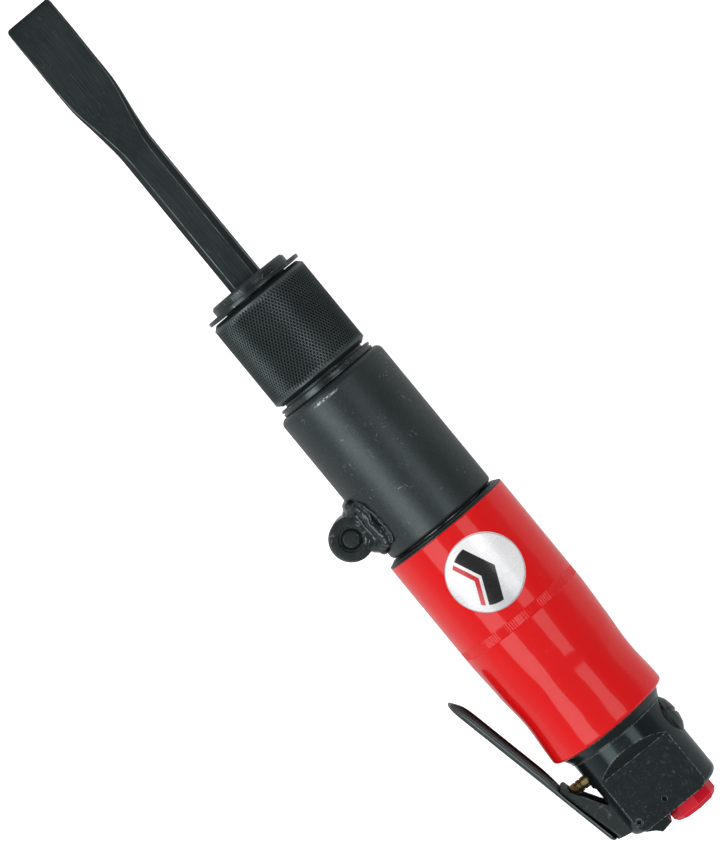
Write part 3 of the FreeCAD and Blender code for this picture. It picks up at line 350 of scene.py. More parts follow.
def cast_paint():
    """Glossy black round the neck, duller on the milled flats with their arc-shaped cutter marks; painted
    light on the upper ramp, painted shade in the flat's pit.
    """
    material, tree, surface = new_material("black_head_paint")
    where = place(tree)
    x, y = split(tree, where, "XY")
    a, b = calc(tree, "SUBTRACT", x, 0.2285), calc(tree, "SUBTRACT", y, -0.0035)
    angle = calc(tree, "ARCTAN2", b, a)
    swept = add_node(tree, "ShaderNodeCombineXYZ", {
        "X": length_of(tree, a, b), "Y": times(tree, angle, 0.0011),
    })
    arcs = noise_of(tree, swept.outputs["Vector"], 4200.0, 3.0, 0.65)
    patches = noise_of(tree, place(tree, shift=(0.1, 0.2, 0)), 300.0, 4.0, 0.65)
    fleck = noise_of(tree, where, 900.0, 3.0, 0.7)
    cloud = noise_of(tree, where, 60.0, 4.0)
    fine = noise_of(tree, where, 1700.0, 3.0)
    to_x, to_z = split(tree, add_node(tree, "ShaderNodeNewGeometry").outputs["Normal"], "XZ")
    on_flat = band(tree, calc(tree, "ABSOLUTE", to_z), 0.985, 0.995)
    ramp_painted_light = times(tree, band(tree, to_x, 0.5, 0.7), band(tree, to_z, 0.3, 0.5))
    milled = times(tree, band(tree, arcs, 0.55, 0.72), band(tree, patches, 0.36, 0.64))
    milled = times(tree, milled, on_flat)
    # Edge lines: chipped paint along the edges, and partly painted highlight along the flats' edges.
    edges = times(tree, edge_wear(tree, 0.0005, 0.006, 0.05), band(tree, fleck, 0.40, 0.58))
    marks = larger(tree, times(tree, milled, 0.30), times(tree, edges, 0.62))
    shade = mix_colour(tree, band(tree, cloud, 0.35, 0.65), (0.006, 0.008, 0.009), (0.010, 0.013, 0.014))
    shade = mix_colour(tree, times(tree, on_flat, 0.8), shade, (0.014, 0.018, 0.019))
    # Painted light: the upward-facing ramp behind the neck gets a lighter colour in place of the light it
    # catches.
    shade = mix_colour(tree, ramp_painted_light, shade, (0.026, 0.033, 0.034))
    shade = mix_colour(tree, marks, shade, (0.38, 0.43, 0.43))
    rough = band(tree, cloud, 0.3, 0.7, 0.15, 0.22)
    height = calc(tree, "ADD", fine, times(tree, arcs, on_flat))
    # Painted shade: the pit on the upper flat is coloured near black.
    plug_all(tree, surface, {
        "Base Color": mix_colour(tree, pit_shade_mask(tree), shade, (0.001, 0.001, 0.001)),
        "Metallic": 0.30,
        "Specular Tint": (0.76, 0.98, 1.0, 1),
        "Specular IOR Level": band(tree, on_flat, 0.0, 1.0, 0.85, 0.30),
        "Roughness": calc(tree, "ADD", rough, times(tree, on_flat, 0.27)),
        "Normal": bump(tree, height, 0.4, 0.00008),
    })
    return material


def pit_shade_mask(tree):
    """1 inside the small oval pit of the upper wrench flat, which is painted near black as shade."""
    x, y, z = split(tree, place(tree))
    across = calc(tree, "SUBTRACT", x, PIT_AT[0] * MM)
    away = length_of(tree, across, calc(tree, "SUBTRACT", y, PIT_AT[1] * MM))
    return times(tree, band(tree, away, 0.00075, 0.00105, 1.0, 0.0), band(tree, z, 0.0, 0.001))


def bare_metal(name, colour, roughness, lines=(1, 1, 1)):
    """Turned or drawn bare metal: directional fine lines and dull patches."""
    material, tree, surface = new_material(name)
    fine = noise_of(tree, place(tree, lines), 1400.0, 3.0)
    cloud = noise_of(tree, place(tree), 140.0, 4.0)
    dull = tuple(v * 0.62 for v in colour)
    plug_all(tree, surface, {
        "Base Color": mix_colour(tree, band(tree, cloud, 0.35, 0.7), colour, dull),
        "Metallic": 1.0,
        "Roughness": band(tree, cloud, 0.3, 0.7, roughness - 0.06, roughness + 0.1),
        "Normal": bump(tree, fine, 0.3, 0.00006),
    })
    return material


def moulded_plastic():
    """Red injection-moulded plastic: soft gloss, flow mottling, whitened edges."""
    material, tree, surface = new_material("red_plastic")
    where = place(tree)
    cloud = noise_of(tree, where, 110.0, 4.0)
    fine = noise_of(tree, where, 900.0, 3.0)
    edges = times(tree, edge_wear(tree, 0.0004, 0.015, 0.10), 0.60)
    shade = mix_colour(tree, band(tree, cloud, 0.3, 0.7), (0.54, 0.0040, 0.018), (0.63, 0.0055, 0.024))
    plug_all(tree, surface, {
        "Base Color": mix_colour(tree, edges, shade, (0.85, 0.35, 0.38)),
        "Roughness": band(tree, cloud, 0.3, 0.7, 0.34, 0.48),
        "Specular IOR Level": 0.12,
        "Normal": bump(tree, fine, 0.12, 0.00008),
    })
    return material


def soft_matter(name, colour, grain_scale, grain):
    """Rubber or felt: matte, mottled, with a visible grain."""
    material, tree, surface = new_material(name)
    where = place(tree)
    cloud = noise_of(tree, where, 90.0, 4.0)
    fine = noise_of(tree, where, grain_scale, 5.0)
    plug_all(tree, surface, {
        "Base Color": mix_colour(tree, cloud, colour, tuple(v * 1.5 for v in colour)),
        "Roughness": band(tree, fine, 0.3, 0.7, 0.62, 0.85),
        "Normal": bump(tree, fine, grain, 0.0002),
    })
    return material


def badge_foil():
    """Brushed silver foil with a painted reflection, lighter towards one side and crossed by a painted sheen,
    printed with a plain chevron band and a rim line.
    """
    material, tree, surface = new_material("badge_foil")
    centre = box_middle("name_badge")
    x, y = split(tree, place(tree, shift=(-centre.x, -centre.y, 0)), "XY")
    brushed = noise_of(tree, place(tree, (1, 0.03, 1)), 1800.0, 2.0)
    painted_sheen = noise_of(tree, place(tree, (1, 0.2, 1), (0, 0, 0.5)), 95.0, 1.0, 0.3)
    # Painted reflection: near white at one side, darker silver at the other, then a soft painted sheen band.
    silver = mix_colour(tree, band(tree, x, -0.013, 0.013), (0.93, 0.93, 0.94), (0.62, 0.63, 0.65))
    silver = mix_colour(tree, band(tree, painted_sheen, 0.40, 0.62, 0.0, 0.75), silver, (0.95, 0.95, 0.96))
    silver = mix_colour(tree, band(tree, brushed, 0.35, 0.65, 0.0, 0.03), silver, (0.3, 0.31, 0.33))
    radius = length_of(tree, x, y)
    inside = band(tree, radius, 0.0112, 0.0114, 1.0, 0.0)
    chevron = calc(tree, "ADD", y, times(tree, calc(tree, "ABSOLUTE", x), 0.45))
    dark_band = times(tree, stripe(tree, chevron, 0.0015, 0.0030), inside)
    red_band = times(tree, stripe(tree, chevron, -0.0036, 0.0009), inside)
    rim = times(tree, stripe(tree, radius, 0.01385, 0.00020), 0.5)
    colour = mix_colour(tree, dark_band, silver, (0.012, 0.012, 0.013))
    colour = mix_colour(tree, red_band, colour, (0.55, 0.01, 0.02))
    printed = larger(tree, larger(tree, dark_band, red_band), rim)
    plug_all(tree, surface, {
        "Base Color": mix_colour(tree, rim, colour, (0.10, 0.10, 0.11)),
        "Metallic": band(tree, printed, 0.0, 1.0, 0.15, 0.0),
        "Roughness": band(tree, brushed, 0.3, 0.7, 0.22, 0.36),
        "Coat Weight": 0.5,
        "Coat Roughness": 0.08,
        "Normal": bump(tree, printed, 0.2, 0.00004),
    })
    return material


def stripe(tree, value, middle, half):
    """1 where value is within half of middle, with a crisp soft edge."""
    return band(tree, off(tree, value, middle), half - 0.00006, half + 0.00006, 1.0, 0.0)


def floor_paper():
    """Pale plain studio paper with the faintest tooth and a glow that keeps it white."""
    material, tree, surface = new_material("studio_paper")
    tooth = noise_of(tree, place(tree), 900.0, 3.0)
    plug_all(tree, surface, {
        "Base Color": mix_colour(tree, tooth, (0.86, 0.86, 0.86), (0.90, 0.90, 0.90)),
        "Roughness": 0.9,
        "Emission Color": (1, 1, 1, 1),
        "Emission Strength": PAPER_GLOW,
    })
    return material


# ---------------------------------------------------------------- mesh helpers

def in_mm(node):
    """The low and high corners of a node's box."""
    low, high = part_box(node)
    return low / MM, high / MM


def box_middle(node):
    low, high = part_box(node)
    return (low + high) / 2


def to_object(name, shape):
    """Turn a bmesh into an object of the scene."""
    bmesh.ops.recalc_face_normals(shape, faces=shape.faces[:])
    mesh = bpy.data.meshes.new(name)
    shape.to_mesh(mesh)
    shape.free()
    piece = bpy.data.objects.new(name, mesh)
    bpy.context.scene.collection.objects.link(piece)
    return piece


def finish_mesh(name, shape, material, body, replaced, crease=32):
    """Turn a bmesh into a smooth-shaded object that rides on a body."""
    piece = to_object(name, shape)
    piece.data.materials.append(material)
    smooth(piece, crease)
    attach(piece, body)
    if replaced:
        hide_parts(*replaced)
    return piece


def smooth(piece, crease):
    piece.data.shade_smooth()
    piece.data.set_sharp_from_angle(angle=math.radians(crease))


def rounded(corners, closed=False, steps=6):
    """A plane outline whose corners (x, y, radius) are turned into arcs."""
    outline = []
    count = len(corners)
    for k, (x, y, radius) in enumerate(corners):
        here = Vector((x, y))
        at_end = not closed and k in (0, count - 1)
        if radius <= 0 or at_end:
            outline.append(here)
            continue
        back = (Vector(corners[k - 1][:2]) - here).normalized()
        ahead = (Vector(corners[(k + 1) % count][:2]) - here).normalized()
        half = back.angle(ahead) / 2
        centre = here + (back + ahead).normalized() * (radius / math.sin(half))
        start = here + back * (radius / math.tan(half)) - centre
        sweep = start.angle_signed(here + ahead * (radius / math.tan(half)) - centre)
        for step in range(steps + 1):
            angle = -sweep * step / steps
            turned = Vector((
                start.x * math.cos(angle) - start.y * math.sin(angle),
                start.x * math.sin(angle) + start.y * math.cos(angle),
            ))
            outline.append(centre + turned)
    return outline


def directions(count):
    """The cosine and sine of evenly spaced angles round a circle."""
    angles = [2 * math.pi * k / count for k in range(count)]
    return [(math.cos(angle), math.sin(angle)) for angle in angles]


def disc_outline(x, y, radius, count=48):
    return [(x + radius * c, y + radius * s) for c, s in directions(count)]


def ring_of(shape, points):
    """New vertices of a shape at points given in millimetres."""
    return [shape.verts.new(Vector(point) * MM) for point in points]


def join_rings(shape, a, b, closed=True):
    """Quads between two rings, or triangles where one of them is a single point."""
    count = max(len(a), len(b))
    for k in range(count if closed else count - 1):
        after = (k + 1) % count
        corners = [a[k % len(a)], a[after % len(a)], b[after % len(b)], b[k % len(b)]]
        unique = list(dict.fromkeys(corners))
        if len(unique) > 2:
            shape.faces.new(unique)


def skin(shape, rings):
    """Join each ring to the next one."""
    for a, b in zip(rings, rings[1:]):
        join_rings(shape, a, b)


def lathe(outline, segments=160, closed=False):
    """Turn (x, radius) points in millimetres round the tool axis into a bmesh."""
    shape = bmesh.new()
    around = directions(segments)
    rings = []
    for x, radius in outline:
        if radius < 1e-6:
            rings.append([shape.verts.new((x * MM, 0, 0))])
            continue
        rings.append([shape.verts.new((x * MM, radius * MM * c, radius * MM * s)) for c, s in around])
    skin(shape, rings + rings[:1] if closed else rings)
    return shape


def slab(outline, low, high, turn=Matrix.Identity(4)):
    """A straight-sided solid: a closed (x, y) outline carried from z low to high."""
    shape = bmesh.new()
    bottom = [shape.verts.new(turn @ (Vector((x, y, low)) * MM)) for x, y in outline]
    top = [shape.verts.new(turn @ (Vector((x, y, high)) * MM)) for x, y in outline]
    join_rings(shape, bottom, top)
    shape.faces.new(bottom)
    shape.faces.new(top)
    return shape


def move_all(shape, matrix):
    bmesh.ops.transform(shape, matrix=matrix, verts=shape.verts[:])


def turn_across(shape, centre):
    """Move a piece turned round X onto an axis along Z through centre."""
    move_all(shape, Matrix.Translation(centre * MM) @ Matrix.Rotation(math.radians(-90), 4, "Y"))


def turn_sideways(shape, x):
    """Move a piece turned round X onto an axis along Y at x."""
    at = Vector((x, 0, 0)) * MM
    move_all(shape, Matrix.Translation(at) @ Matrix.Rotation(math.radians(90), 4, "Z"))


def apply_modifiers(piece):
    """Replace a piece's mesh by what its modifiers make of it."""
    bpy.context.view_layer.update()
    ready = piece.evaluated_get(bpy.context.evaluated_depsgraph_get())
    mesh = bpy.data.meshes.new_from_object(ready)
    old = piece.data
    piece.modifiers.clear()
    piece.data = mesh
    bpy.data.meshes.remove(old)


def carve(piece, shapes, operation="DIFFERENCE"):
    """Cut (or join) shapes with a piece one after another."""
    for shape in shapes:
        tool = to_object("cutter", shape)
        step = piece.modifiers.new("carve", "BOOLEAN")
        step.operation = operation
        step.solver = "EXACT"
        step.object = tool
        apply_modifiers(piece)
        bpy.data.objects.remove(tool)


def soften(piece, width):
    """A small real bevel along every sharp edge."""
    step = piece.modifiers.new("soften", "BEVEL")
    step.width = width * MM
    step.segments = 2
    step.limit_method = "ANGLE"
    step.angle_limit = math.radians(35)
    step.use_clamp_overlap = True
    step.miter_outer = "MITER_ARC"
    apply_modifiers(piece)
    smooth(piece, 30)
    even = piece.modifiers.new("even", "WEIGHTED_NORMAL")
    even.mode = "FACE_AREA_WITH_ANGLE"
    even.weight = 90
    even.keep_sharp = True


# ---------------------------------------------------------------- chisel

def chisel_section(half_wide, half_thick, chamfer):
    """An eight-cornered section with lightly rounded edges, as (y, z, how near an edge)."""
    edge = min(0.35, chamfer * 0.45, half_thick * 0.4)
    w, t, c = half_wide, half_thick, chamfer
    corners = [
        (w - c, -t), (w, -t + c), (w, t - c), (w - c, t),
        (-w + c, t), (-w, t - c), (-w, -t + c), (-w + c, -t),
    ]
    arcs = rounded([(y, z, edge) for y, z in corners], closed=True, steps=3)
    section = []
    for k in range(0, len(arcs), 4):
        section += [(p.x, p.y, near) for p, near in zip(arcs[k:k + 4], (0.6, 1.0, 1.0, 0.6))]
        leaving, arriving = arcs[k + 3], arcs[(k + 4) % len(arcs)]
        share = min(0.3, 0.2 / (arriving - leaving).length)
        for t_along in (share, 1 - share):
            flank = leaving.lerp(arriving, t_along)
            section.append((flank.x, flank.y, 0.0))
    return section


def make_chisel(material):
    """Forged flat chisel: sections follow the taper from blade to square shank."""
    low, high = in_mm("chisel")
    tip, rear = low.x, high.x
    blade, square = high.y, high.z
    corner = 2.2
    stations = [
        (tip, blade - 1.1, 0.35, 0.12), (tip + 0.5, blade - 0.4, 0.50, 0.15),
        (tip + 1.3, blade - 0.03, 0.72, 0.2), (tip + 4, blade, 1.05, 0.25),
        (tip + 7.5, blade, 1.38, 0.3), (tip + 9, blade, 1.46, 0.3),
        (tip + 20, blade, 1.68, 0.45), (tip + 30, blade - 0.02, 1.9, 0.6),
        (tip + 36, blade - 0.15, 2.1, 0.75), (tip + 41, blade - 0.65, 2.5, 0.95),
        (tip + 46, blade - 1.4, 3.1, 1.2), (tip + 51, blade - 2.15, 3.85, 1.5),
        (tip + 56, blade - 2.75, 4.7, 1.75), (tip + 60, square + 0.08, 5.55, 2.0),
        (tip + 64, square, 6.2, 2.15), (tip + 67, square, square, corner),
        (-30, square, square, corner), (0, square, square, corner),
    ]
    shape = bmesh.new()
    edge_layer = shape.verts.layers.float.new("edge")
    rings = []
    for x, half_wide, half_thick, chamfer in dense(stations, 1.5):
        ring = []
        for y, z, near in chisel_section(half_wide, half_thick, chamfer):
            uneven = noise.noise(Vector((x * 0.09, y * 0.15, z * 0.15 + 7))) * forged(x, tip)
            vertex = shape.verts.new(Vector((x, y * (1 - uneven * 0.5), z * (1 - uneven))) * MM)
            vertex[edge_layer] = near
            ring.append(vertex)
        rings.append(ring)
    shank = chisel_section(square, square, corner)
    for x, scale in ((rear - 0.6, 1.0), (rear, 0.9)):
        rings.append(ring_of(shape, [(x, y * scale, z * scale) for y, z, _ in shank]))
    skin(shape, rings)
    shape.faces.new(rings[0])
    shape.faces.new(rings[-1])
    piece = finish_mesh("chisel_forged", shape, material, "chisel_tool", ["chisel"], crease=24)
    low_ball, high_ball = in_mm("lock_ball")
    start, end = low_ball.x + 0.55, high_ball.x + 5.25
    floor, above = square - 1.5, square + 3
    notch = [(start, floor), (end, floor), (end, above), (start, above)]
    carve(piece, [slab(notch, -square * 2, square * 2, ACROSS)])
    smooth(piece, 24)


def forged(x, tip):
    """How uneven the forging is here: most in the taper, none on the ground shank."""
    distance = x - tip
    return 0.03 * max(0.0, min(1.0, (70 - distance) / 25)) * min(1.0, distance / 12)


def dense(stations, step):
    """Evenly spaced stations between the given ones, no further apart than about step."""
    result = []
    for a, b in zip(stations, stations[1:]):
        count = max(1, round((b[0] - a[0]) / step))
        for k in range(count):
            t = k / count
            result.append(tuple(u + (v - u) * t for u, v in zip(a, b)))
    result.append(stations[-1])
    return result


# ---------------------------------------------------------------- nose and sleeve

def make_nose(material):
    """The bush's flange with its bevelled rim; the socket stays square inside."""
    flange = in_mm("chisel_bush")[1].z
    rim = lathe(rounded([
        (3.4, 12.0, 0), (3.4, flange, 0.25), (0.9, flange, 0.7), (0.0, flange - 1.0, 0.4), (0.0, 12.2, 0.3),
        (0.25, 11.8, 0.2), (0.25, 7.2, 0),
    ]))
    finish_mesh("nose_flange", rim, material, "tool", [])


def make_nose_washer(material):
    low, high = in_mm("nose_washer")
    hole = 13.05
    outline = rounded([
        (low.x, hole, 0), (low.x, high.z, 0.3), (high.x, high.z, 0.3), (high.x, hole, 0),
    ], closed=True)
    finish_mesh("nose_washer_ring", lathe(outline, closed=True), material, "tool", ["nose_washer"])


def make_knurled_sleeve(material):
    """A real diamond knurl: long four-sided pits between ridges that cross at about 30 degrees."""
    low, high = in_mm("knurled_sleeve")
    front, rear, radius = low.x, high.x, high.z
    start, end = front + KNURL_FRONT, rear - KNURL_REAR
    pitch = 2 * math.pi * radius / KNURL_COUNT
    rows = 2 * round((end - start) / (pitch * KNURL_STRETCH))
    count = KNURL_COUNT * 2
    around = directions(count)
    ridge = radius - 0.04
    shape = bmesh.new()
    rings = []
    for j in range(rows + 1):
        x = start + (end - start) * j / rows
        fade = min(1.0, j / 1.5, (rows - j) / 1.5)
        ring = []
        for i, (c, s) in enumerate(around):
            deep = KNURL_DEPTH if (i + j) % 2 == 0 else KNURL_DEPTH * 0.05
            r = ridge - deep * fade
            ring.append(shape.verts.new(Vector((x, r * c, r * s)) * MM))
        rings.append(ring)
    for j in range(rows):
        for i in range(count):
            a, b = rings[j][i], rings[j][(i + 1) % count]
            c, d = rings[j + 1][(i + 1) % count], rings[j + 1][i]
            halves = ((a, b, d), (b, c, d)) if (i + j) % 2 == 0 else ((a, b, c), (a, c, d))
            for corners in halves:
                shape.faces.new(corners)
    for ring, knurl_end, edge, bevel_long, bevel_deep in (
        (rings[0], start, front, 1.6, 1.8), (rings[-1], end, rear, -1.5, 2.0),
    ):
        profile = rounded([
            (knurl_end, ridge, 0), (edge + bevel_long, ridge, 0.25), (edge, radius - bevel_deep, 0.25),
            (edge, 13.1, 0),
        ], steps=4)
        skin(shape, [ring] + [ring_of(shape, [(x, r * c, r * s) for c, s in around]) for x, r in profile[1:]])
    finish_mesh("sleeve_knurl", shape, material, "lock_sleeve", ["knurled_sleeve"], crease=12)


def make_lock_ring(material):
    """The ring behind the sleeve, with one narrow groove round its middle."""
    low, high = in_mm("lock_ring")
    radius, hole = high.z, 12.9
    groove_floor = radius - 0.5
    middle = (low.x + high.x) / 2
    before, after = middle - 0.25, middle + 0.25
    outline = rounded([
        (low.x, hole, 0), (low.x, radius, 0.4), (before, radius, 0.05), (before, groove_floor, 0),
        (after, groove_floor, 0), (after, radius, 0.05), (high.x, radius, 0.4), (high.x, hole, 0),
    ], closed=True, steps=3)
    finish_mesh("lock_ring_turned", lathe(outline, closed=True), material, "tool", ["lock_ring"])


# ---------------------------------------------------------------- barrel and eye

def make_barrel(material):
    high = in_mm("barrel")[1]
    front = in_mm("lock_ring")[1].x
    radius = high.z
    mouth_bore, narrow_bore, wide_bore = 12.95, 10.6, 17.05
    narrow_front, narrow_rear = 34.1, 52.1
    outline = rounded([
        (narrow_front, mouth_bore, 0), (front, mouth_bore, 0.3), (front, radius, 2.6), (high.x, radius, 1.8),
        (high.x, wide_bore, 0.3), (narrow_rear, wide_bore, 0), (narrow_rear, narrow_bore, 0),
        (narrow_front, narrow_bore, 0),
    ], closed=True, steps=8)
    shape = lathe(outline, segments=224, closed=True)
    finish_mesh("barrel_turned", shape, material, "tool", ["barrel"])


def make_eye(material):
    """The hanging eye: a short tube across the tool with a shallow counterbore."""
    low, high = in_mm("lug_eye")
    radius = (high.x - low.x) / 2
    half = high.z
    mouth, counterbore, hole = 4.8, 4.4, 3.92
    outline = rounded([
        (-half, mouth, 0.1), (-half, radius, 0.6), (half, radius, 0.6), (half, mouth, 0.1),
        (half - 0.35, counterbore, 0.1), (half - 1.0, counterbore, 0), (half - 1.0, hole, 0),
        (-half + 1.0, hole, 0), (-half + 1.0, counterbore, 0), (-half + 0.35, counterbore, 0.1),
    ], closed=True, steps=5)
    shape = lathe(outline, segments=112, closed=True)
    turn_across(shape, Vector(((low.x + high.x) / 2, low.y + radius, 0)))
    finish_mesh("eye_turned", shape, material, "tool", ["lug_eye"])


def make_eye_pin(material):
    """The screw in the eye: broad chamfers and flat ends."""
    low, high = in_mm("lug_pin")
    radius, half = (high.x - low.x) / 2 - 0.03, high.z
    outline = rounded([
        (-half, 0, 0), (-half, radius - 1.1, 0.25), (-half + 0.95, radius, 0.3),
        (half - 0.95, radius, 0.3), (half, radius - 1.1, 0.25), (half, 0, 0),
    ], steps=4)
    shape = lathe(outline, segments=80)
    turn_across(shape, Vector(((low.x + high.x) / 2, (low.y + high.y) / 2, 0)))
    finish_mesh("eye_pin_turned", shape, material, "tool", ["lug_pin"])


def on_barrel(x, y, lift=0.0):
    """A point on the barrel's upper side, or lifted off it."""
    radius = in_mm("barrel")[1].z + lift
    return Vector((x, y, math.sqrt(radius ** 2 - y * y)))


def lay_bead(shape, path, sizes, dice):
    """Overlapping lumps along a path; their radii run through sizes."""
    total = sum((b - a).length for a, b in zip(path, path[1:]))
    run = 0.0
    for a, b in zip(path, path[1:]):
        length = (b - a).length
        count = max(2, round(length / 0.8))
        for k in range(count):
            t = (run + length * k / count) / total * (len(sizes) - 1)
            here, after = sizes[int(t)], sizes[min(int(t) + 1, len(sizes) - 1)]
            size = here + (after - here) * (t - int(t))
            stray = Vector((dice.uniform(-1, 1), dice.uniform(-1, 1), dice.uniform(-1, 1))) * 0.07
            at = Matrix.Translation((a.lerp(b, k / count) + stray) * MM)
            radius = size * dice.uniform(0.97, 1.03) * MM
            bmesh.ops.create_icosphere(shape, subdivisions=2, radius=radius, matrix=at)
        run += length


def side_beads():
    """The beads of one side, x counted from the eye's middle: each a path and its lump sizes."""
    upper = ((-9.6, -18.0), (-6.5, -16.6), (-2, -15.7), (3, -15.4), (7, -15.5), (9.8, -16.8))
    crest = ((-8.2, -19.4), (-4.5, -18.5), (0.5, -18.8), (5.5, -18.1), (8.8, -18.7))
    foot = (
        (-7.2, -21.0, 10.4), (-3.5, -21.3, 10.0), (0.5, -21.5, 9.8), (5.5, -21.2, 10.2), (7.6, -20.6, 10.8),
    )
    curl = ((-7.6, -20.4, 11.6), (-7.2, -22.8, 9.8), (-6.9, -25.0, 8.0))
    run = ((8.2, -19.6, 11.8), (7.4, -22.4, 9.8), (6.8, -25.4, 8.2))
    return [
        ([on_barrel(x, y) for x, y in upper], [0.7, 1.0, 0.9, 1.0, 0.9, 1.1]),
        ([on_barrel(x, y, 0.5) for x, y in crest], [1.9, 2.3, 2.4, 2.5, 2.2]),
        ([Vector(p) for p in foot], [1.7, 1.2, 1.2, 1.5, 1.8]),
        ([Vector(p) for p in curl], [2.0, 1.8, 1.2]),
        ([Vector(p) for p in run], [2.2, 2.0, 1.3]),
    ]


def make_weld(material):
    """The weld: several run-together beads between the barrel and the eye."""
    eye_low, eye_high = in_mm("lug_eye")
    middle = (eye_low.x + eye_high.x) / 2
    dice = random.Random(11)
    shape = bmesh.new()
    for side in (1, -1):
        for path, sizes in side_beads():
            lay_bead(shape, [Vector((p.x + middle, p.y, p.z * side)) for p in path], sizes, dice)
    for end, x in ((-1, 9.2), (1, 9.4)):
        skirt = [Vector((middle + end * x, -21.2 - 0.9 * math.cos(z * 0.16), z)) for z in range(-10, 11, 4)]
        lay_bead(shape, skirt, [2.3, 2.6, 2.7, 2.6, 2.3], dice)
        neck = [Vector((middle + end * 7.6, -24.0 - 0.6 * math.cos(z * 0.2), z)) for z in range(-8, 9, 4)]
        lay_bead(shape, neck, [1.6, 1.9, 1.9, 1.8, 1.6], dice)
    piece = finish_mesh("weld_bead", shape, material, "tool", ["lug_weld"])
    melt = piece.modifiers.new("melt", "REMESH")
    melt.mode = "VOXEL"
    melt.voxel_size = 0.33 * MM
    settle = piece.modifiers.new("settle", "SMOOTH")
    settle.factor = 0.5
    settle.iterations = 12
    apply_modifiers(piece)
    outward = [vertex.normal.copy() for vertex in piece.data.vertices]
    for vertex, normal in zip(piece.data.vertices, outward):
        at = vertex.co / MM
        ripple = math.sin(at.x * 1.7 + at.y * 0.9 + noise.noise(at * 0.3) * 4.0) * 0.10
        vertex.co += normal * (ripple + noise.noise(at * 0.40) * 0.28) * MM
    piece.data.shade_smooth()


# ---------------------------------------------------------------- grip

def make_collar(material):
    """The black ring at the grip's front edge: a chamfer, a fine groove and a rounded rim."""
    low, high = in_mm("front_collar")
    radius, hole = high.z, 17.1
    outline = rounded([
        (low.x, hole, 0), (low.x, radius - 2.4, 0.3), (low.x + 0.55, radius - 1.1, 0.2),
        (low.x + 0.62, radius - 1.3, 0), (low.x + 0.78, radius - 0.75, 0), (high.x - 0.3, radius, 0.25),
        (high.x, radius, 0), (high.x, hole, 0),
    ], closed=True, steps=3)
    shape = lathe(outline, closed=True, segments=192)
    finish_mesh("collar_turned", shape, material, "tool", ["front_collar"])


def make_grip(material):
    """The red grip: straight, one band of fine straight knurling, a waist and a flare."""
    low, high = in_mm("grip_sleeve")
    front, rear, radius = low.x, high.x, high.z
    bore, flare = 22.05, radius - 0.75
    band_front, band_rear = front + 38.6, front + 42.2
    outline = rounded([(front, bore, 0), (front, radius, 0.5), (band_front - 0.7, radius, 0)])
    for edge in (band_front, band_rear):
        for along, drop in ((-0.16, 0.0), (0.0, 0.12), (0.16, 0.01)):
            outline.append(Vector((edge + along, radius - drop)))
    for x, drop in ((band_rear + 3.0, 0.02), (front + 48, 0.12), (front + 53, 0.28)):
        outline.append(Vector((x, radius - drop)))
    outline += waist_curve(front + 58, rear - 3.2, radius - 0.45, flare)
    outline += rounded([
        (rear - 3.0, flare, 0), (rear - 0.6, flare, 1.3), (rear, radius - 2.6, 0.5), (rear, bore, 0),
    ])
    shape = lathe(outline, segments=GRIP_SEGMENTS, closed=True)
    for k, vertex in enumerate(shape.verts):
        x = vertex.co.x / MM
        trim = 0.0
        if band_front + 0.1 < x < band_rear and k % 2:
            trim = 0.10
        elif band_rear + 4 < x < rear - 0.5:
            wave = noise.noise(vertex.co / MM * 0.085)
            fade = min(1.0, (x - band_rear - 4) / 12) * min(1.0, (rear - 0.5 - x) / 5)
            trim = 0.30 * (0.55 + wave) * fade
        vertex.co.yz *= 1 - trim / radius
    finish_mesh("grip_painted", shape, material, "tool", ["grip_sleeve"], crease=17)


def waist_curve(start, end, from_radius, to_radius):
    """A smooth dip between two radii, deepest just past its middle."""
    points = []
    for k in range(25):
        t = k / 24
        dip = 0.85 * math.sin(math.pi * t) ** 1.6
        base = from_radius + (to_radius - from_radius) * t
        points.append(Vector((start + (end - start) * t, base - dip)))
    return points


def make_badge(material):
    """The round foil badge wrapped on the grip, its rim pressed down."""
    low, high = in_mm("name_badge")
    centre_x = (low.x + high.x) / 2
    radius = (high.x - low.x) / 2
    surface = high.z
    shape = bmesh.new()
    rings = [ring_of(shape, [(centre_x, 0, surface)])]
    levels = [(t * 0.965 * radius / 10, 0.0) for t in range(1, 11)] + [(0.988 * radius, 0.02), (radius, 0.12)]
    for reach, sink in levels:
        flat = [(centre_x + reach * c, reach * s) for c, s in directions(96)]
        rings.append(ring_of(shape, [(x, y, math.sqrt((surface - sink) ** 2 - y * y)) for x, y in flat]))
    skin(shape, rings)
    move_all(shape, Matrix.Rotation(math.radians(-BADGE_TURN), 4, "X"))
    finish_mesh("badge_disc", shape, material, "tool", ["name_badge"])


# ---------------------------------------------------------------- rear head

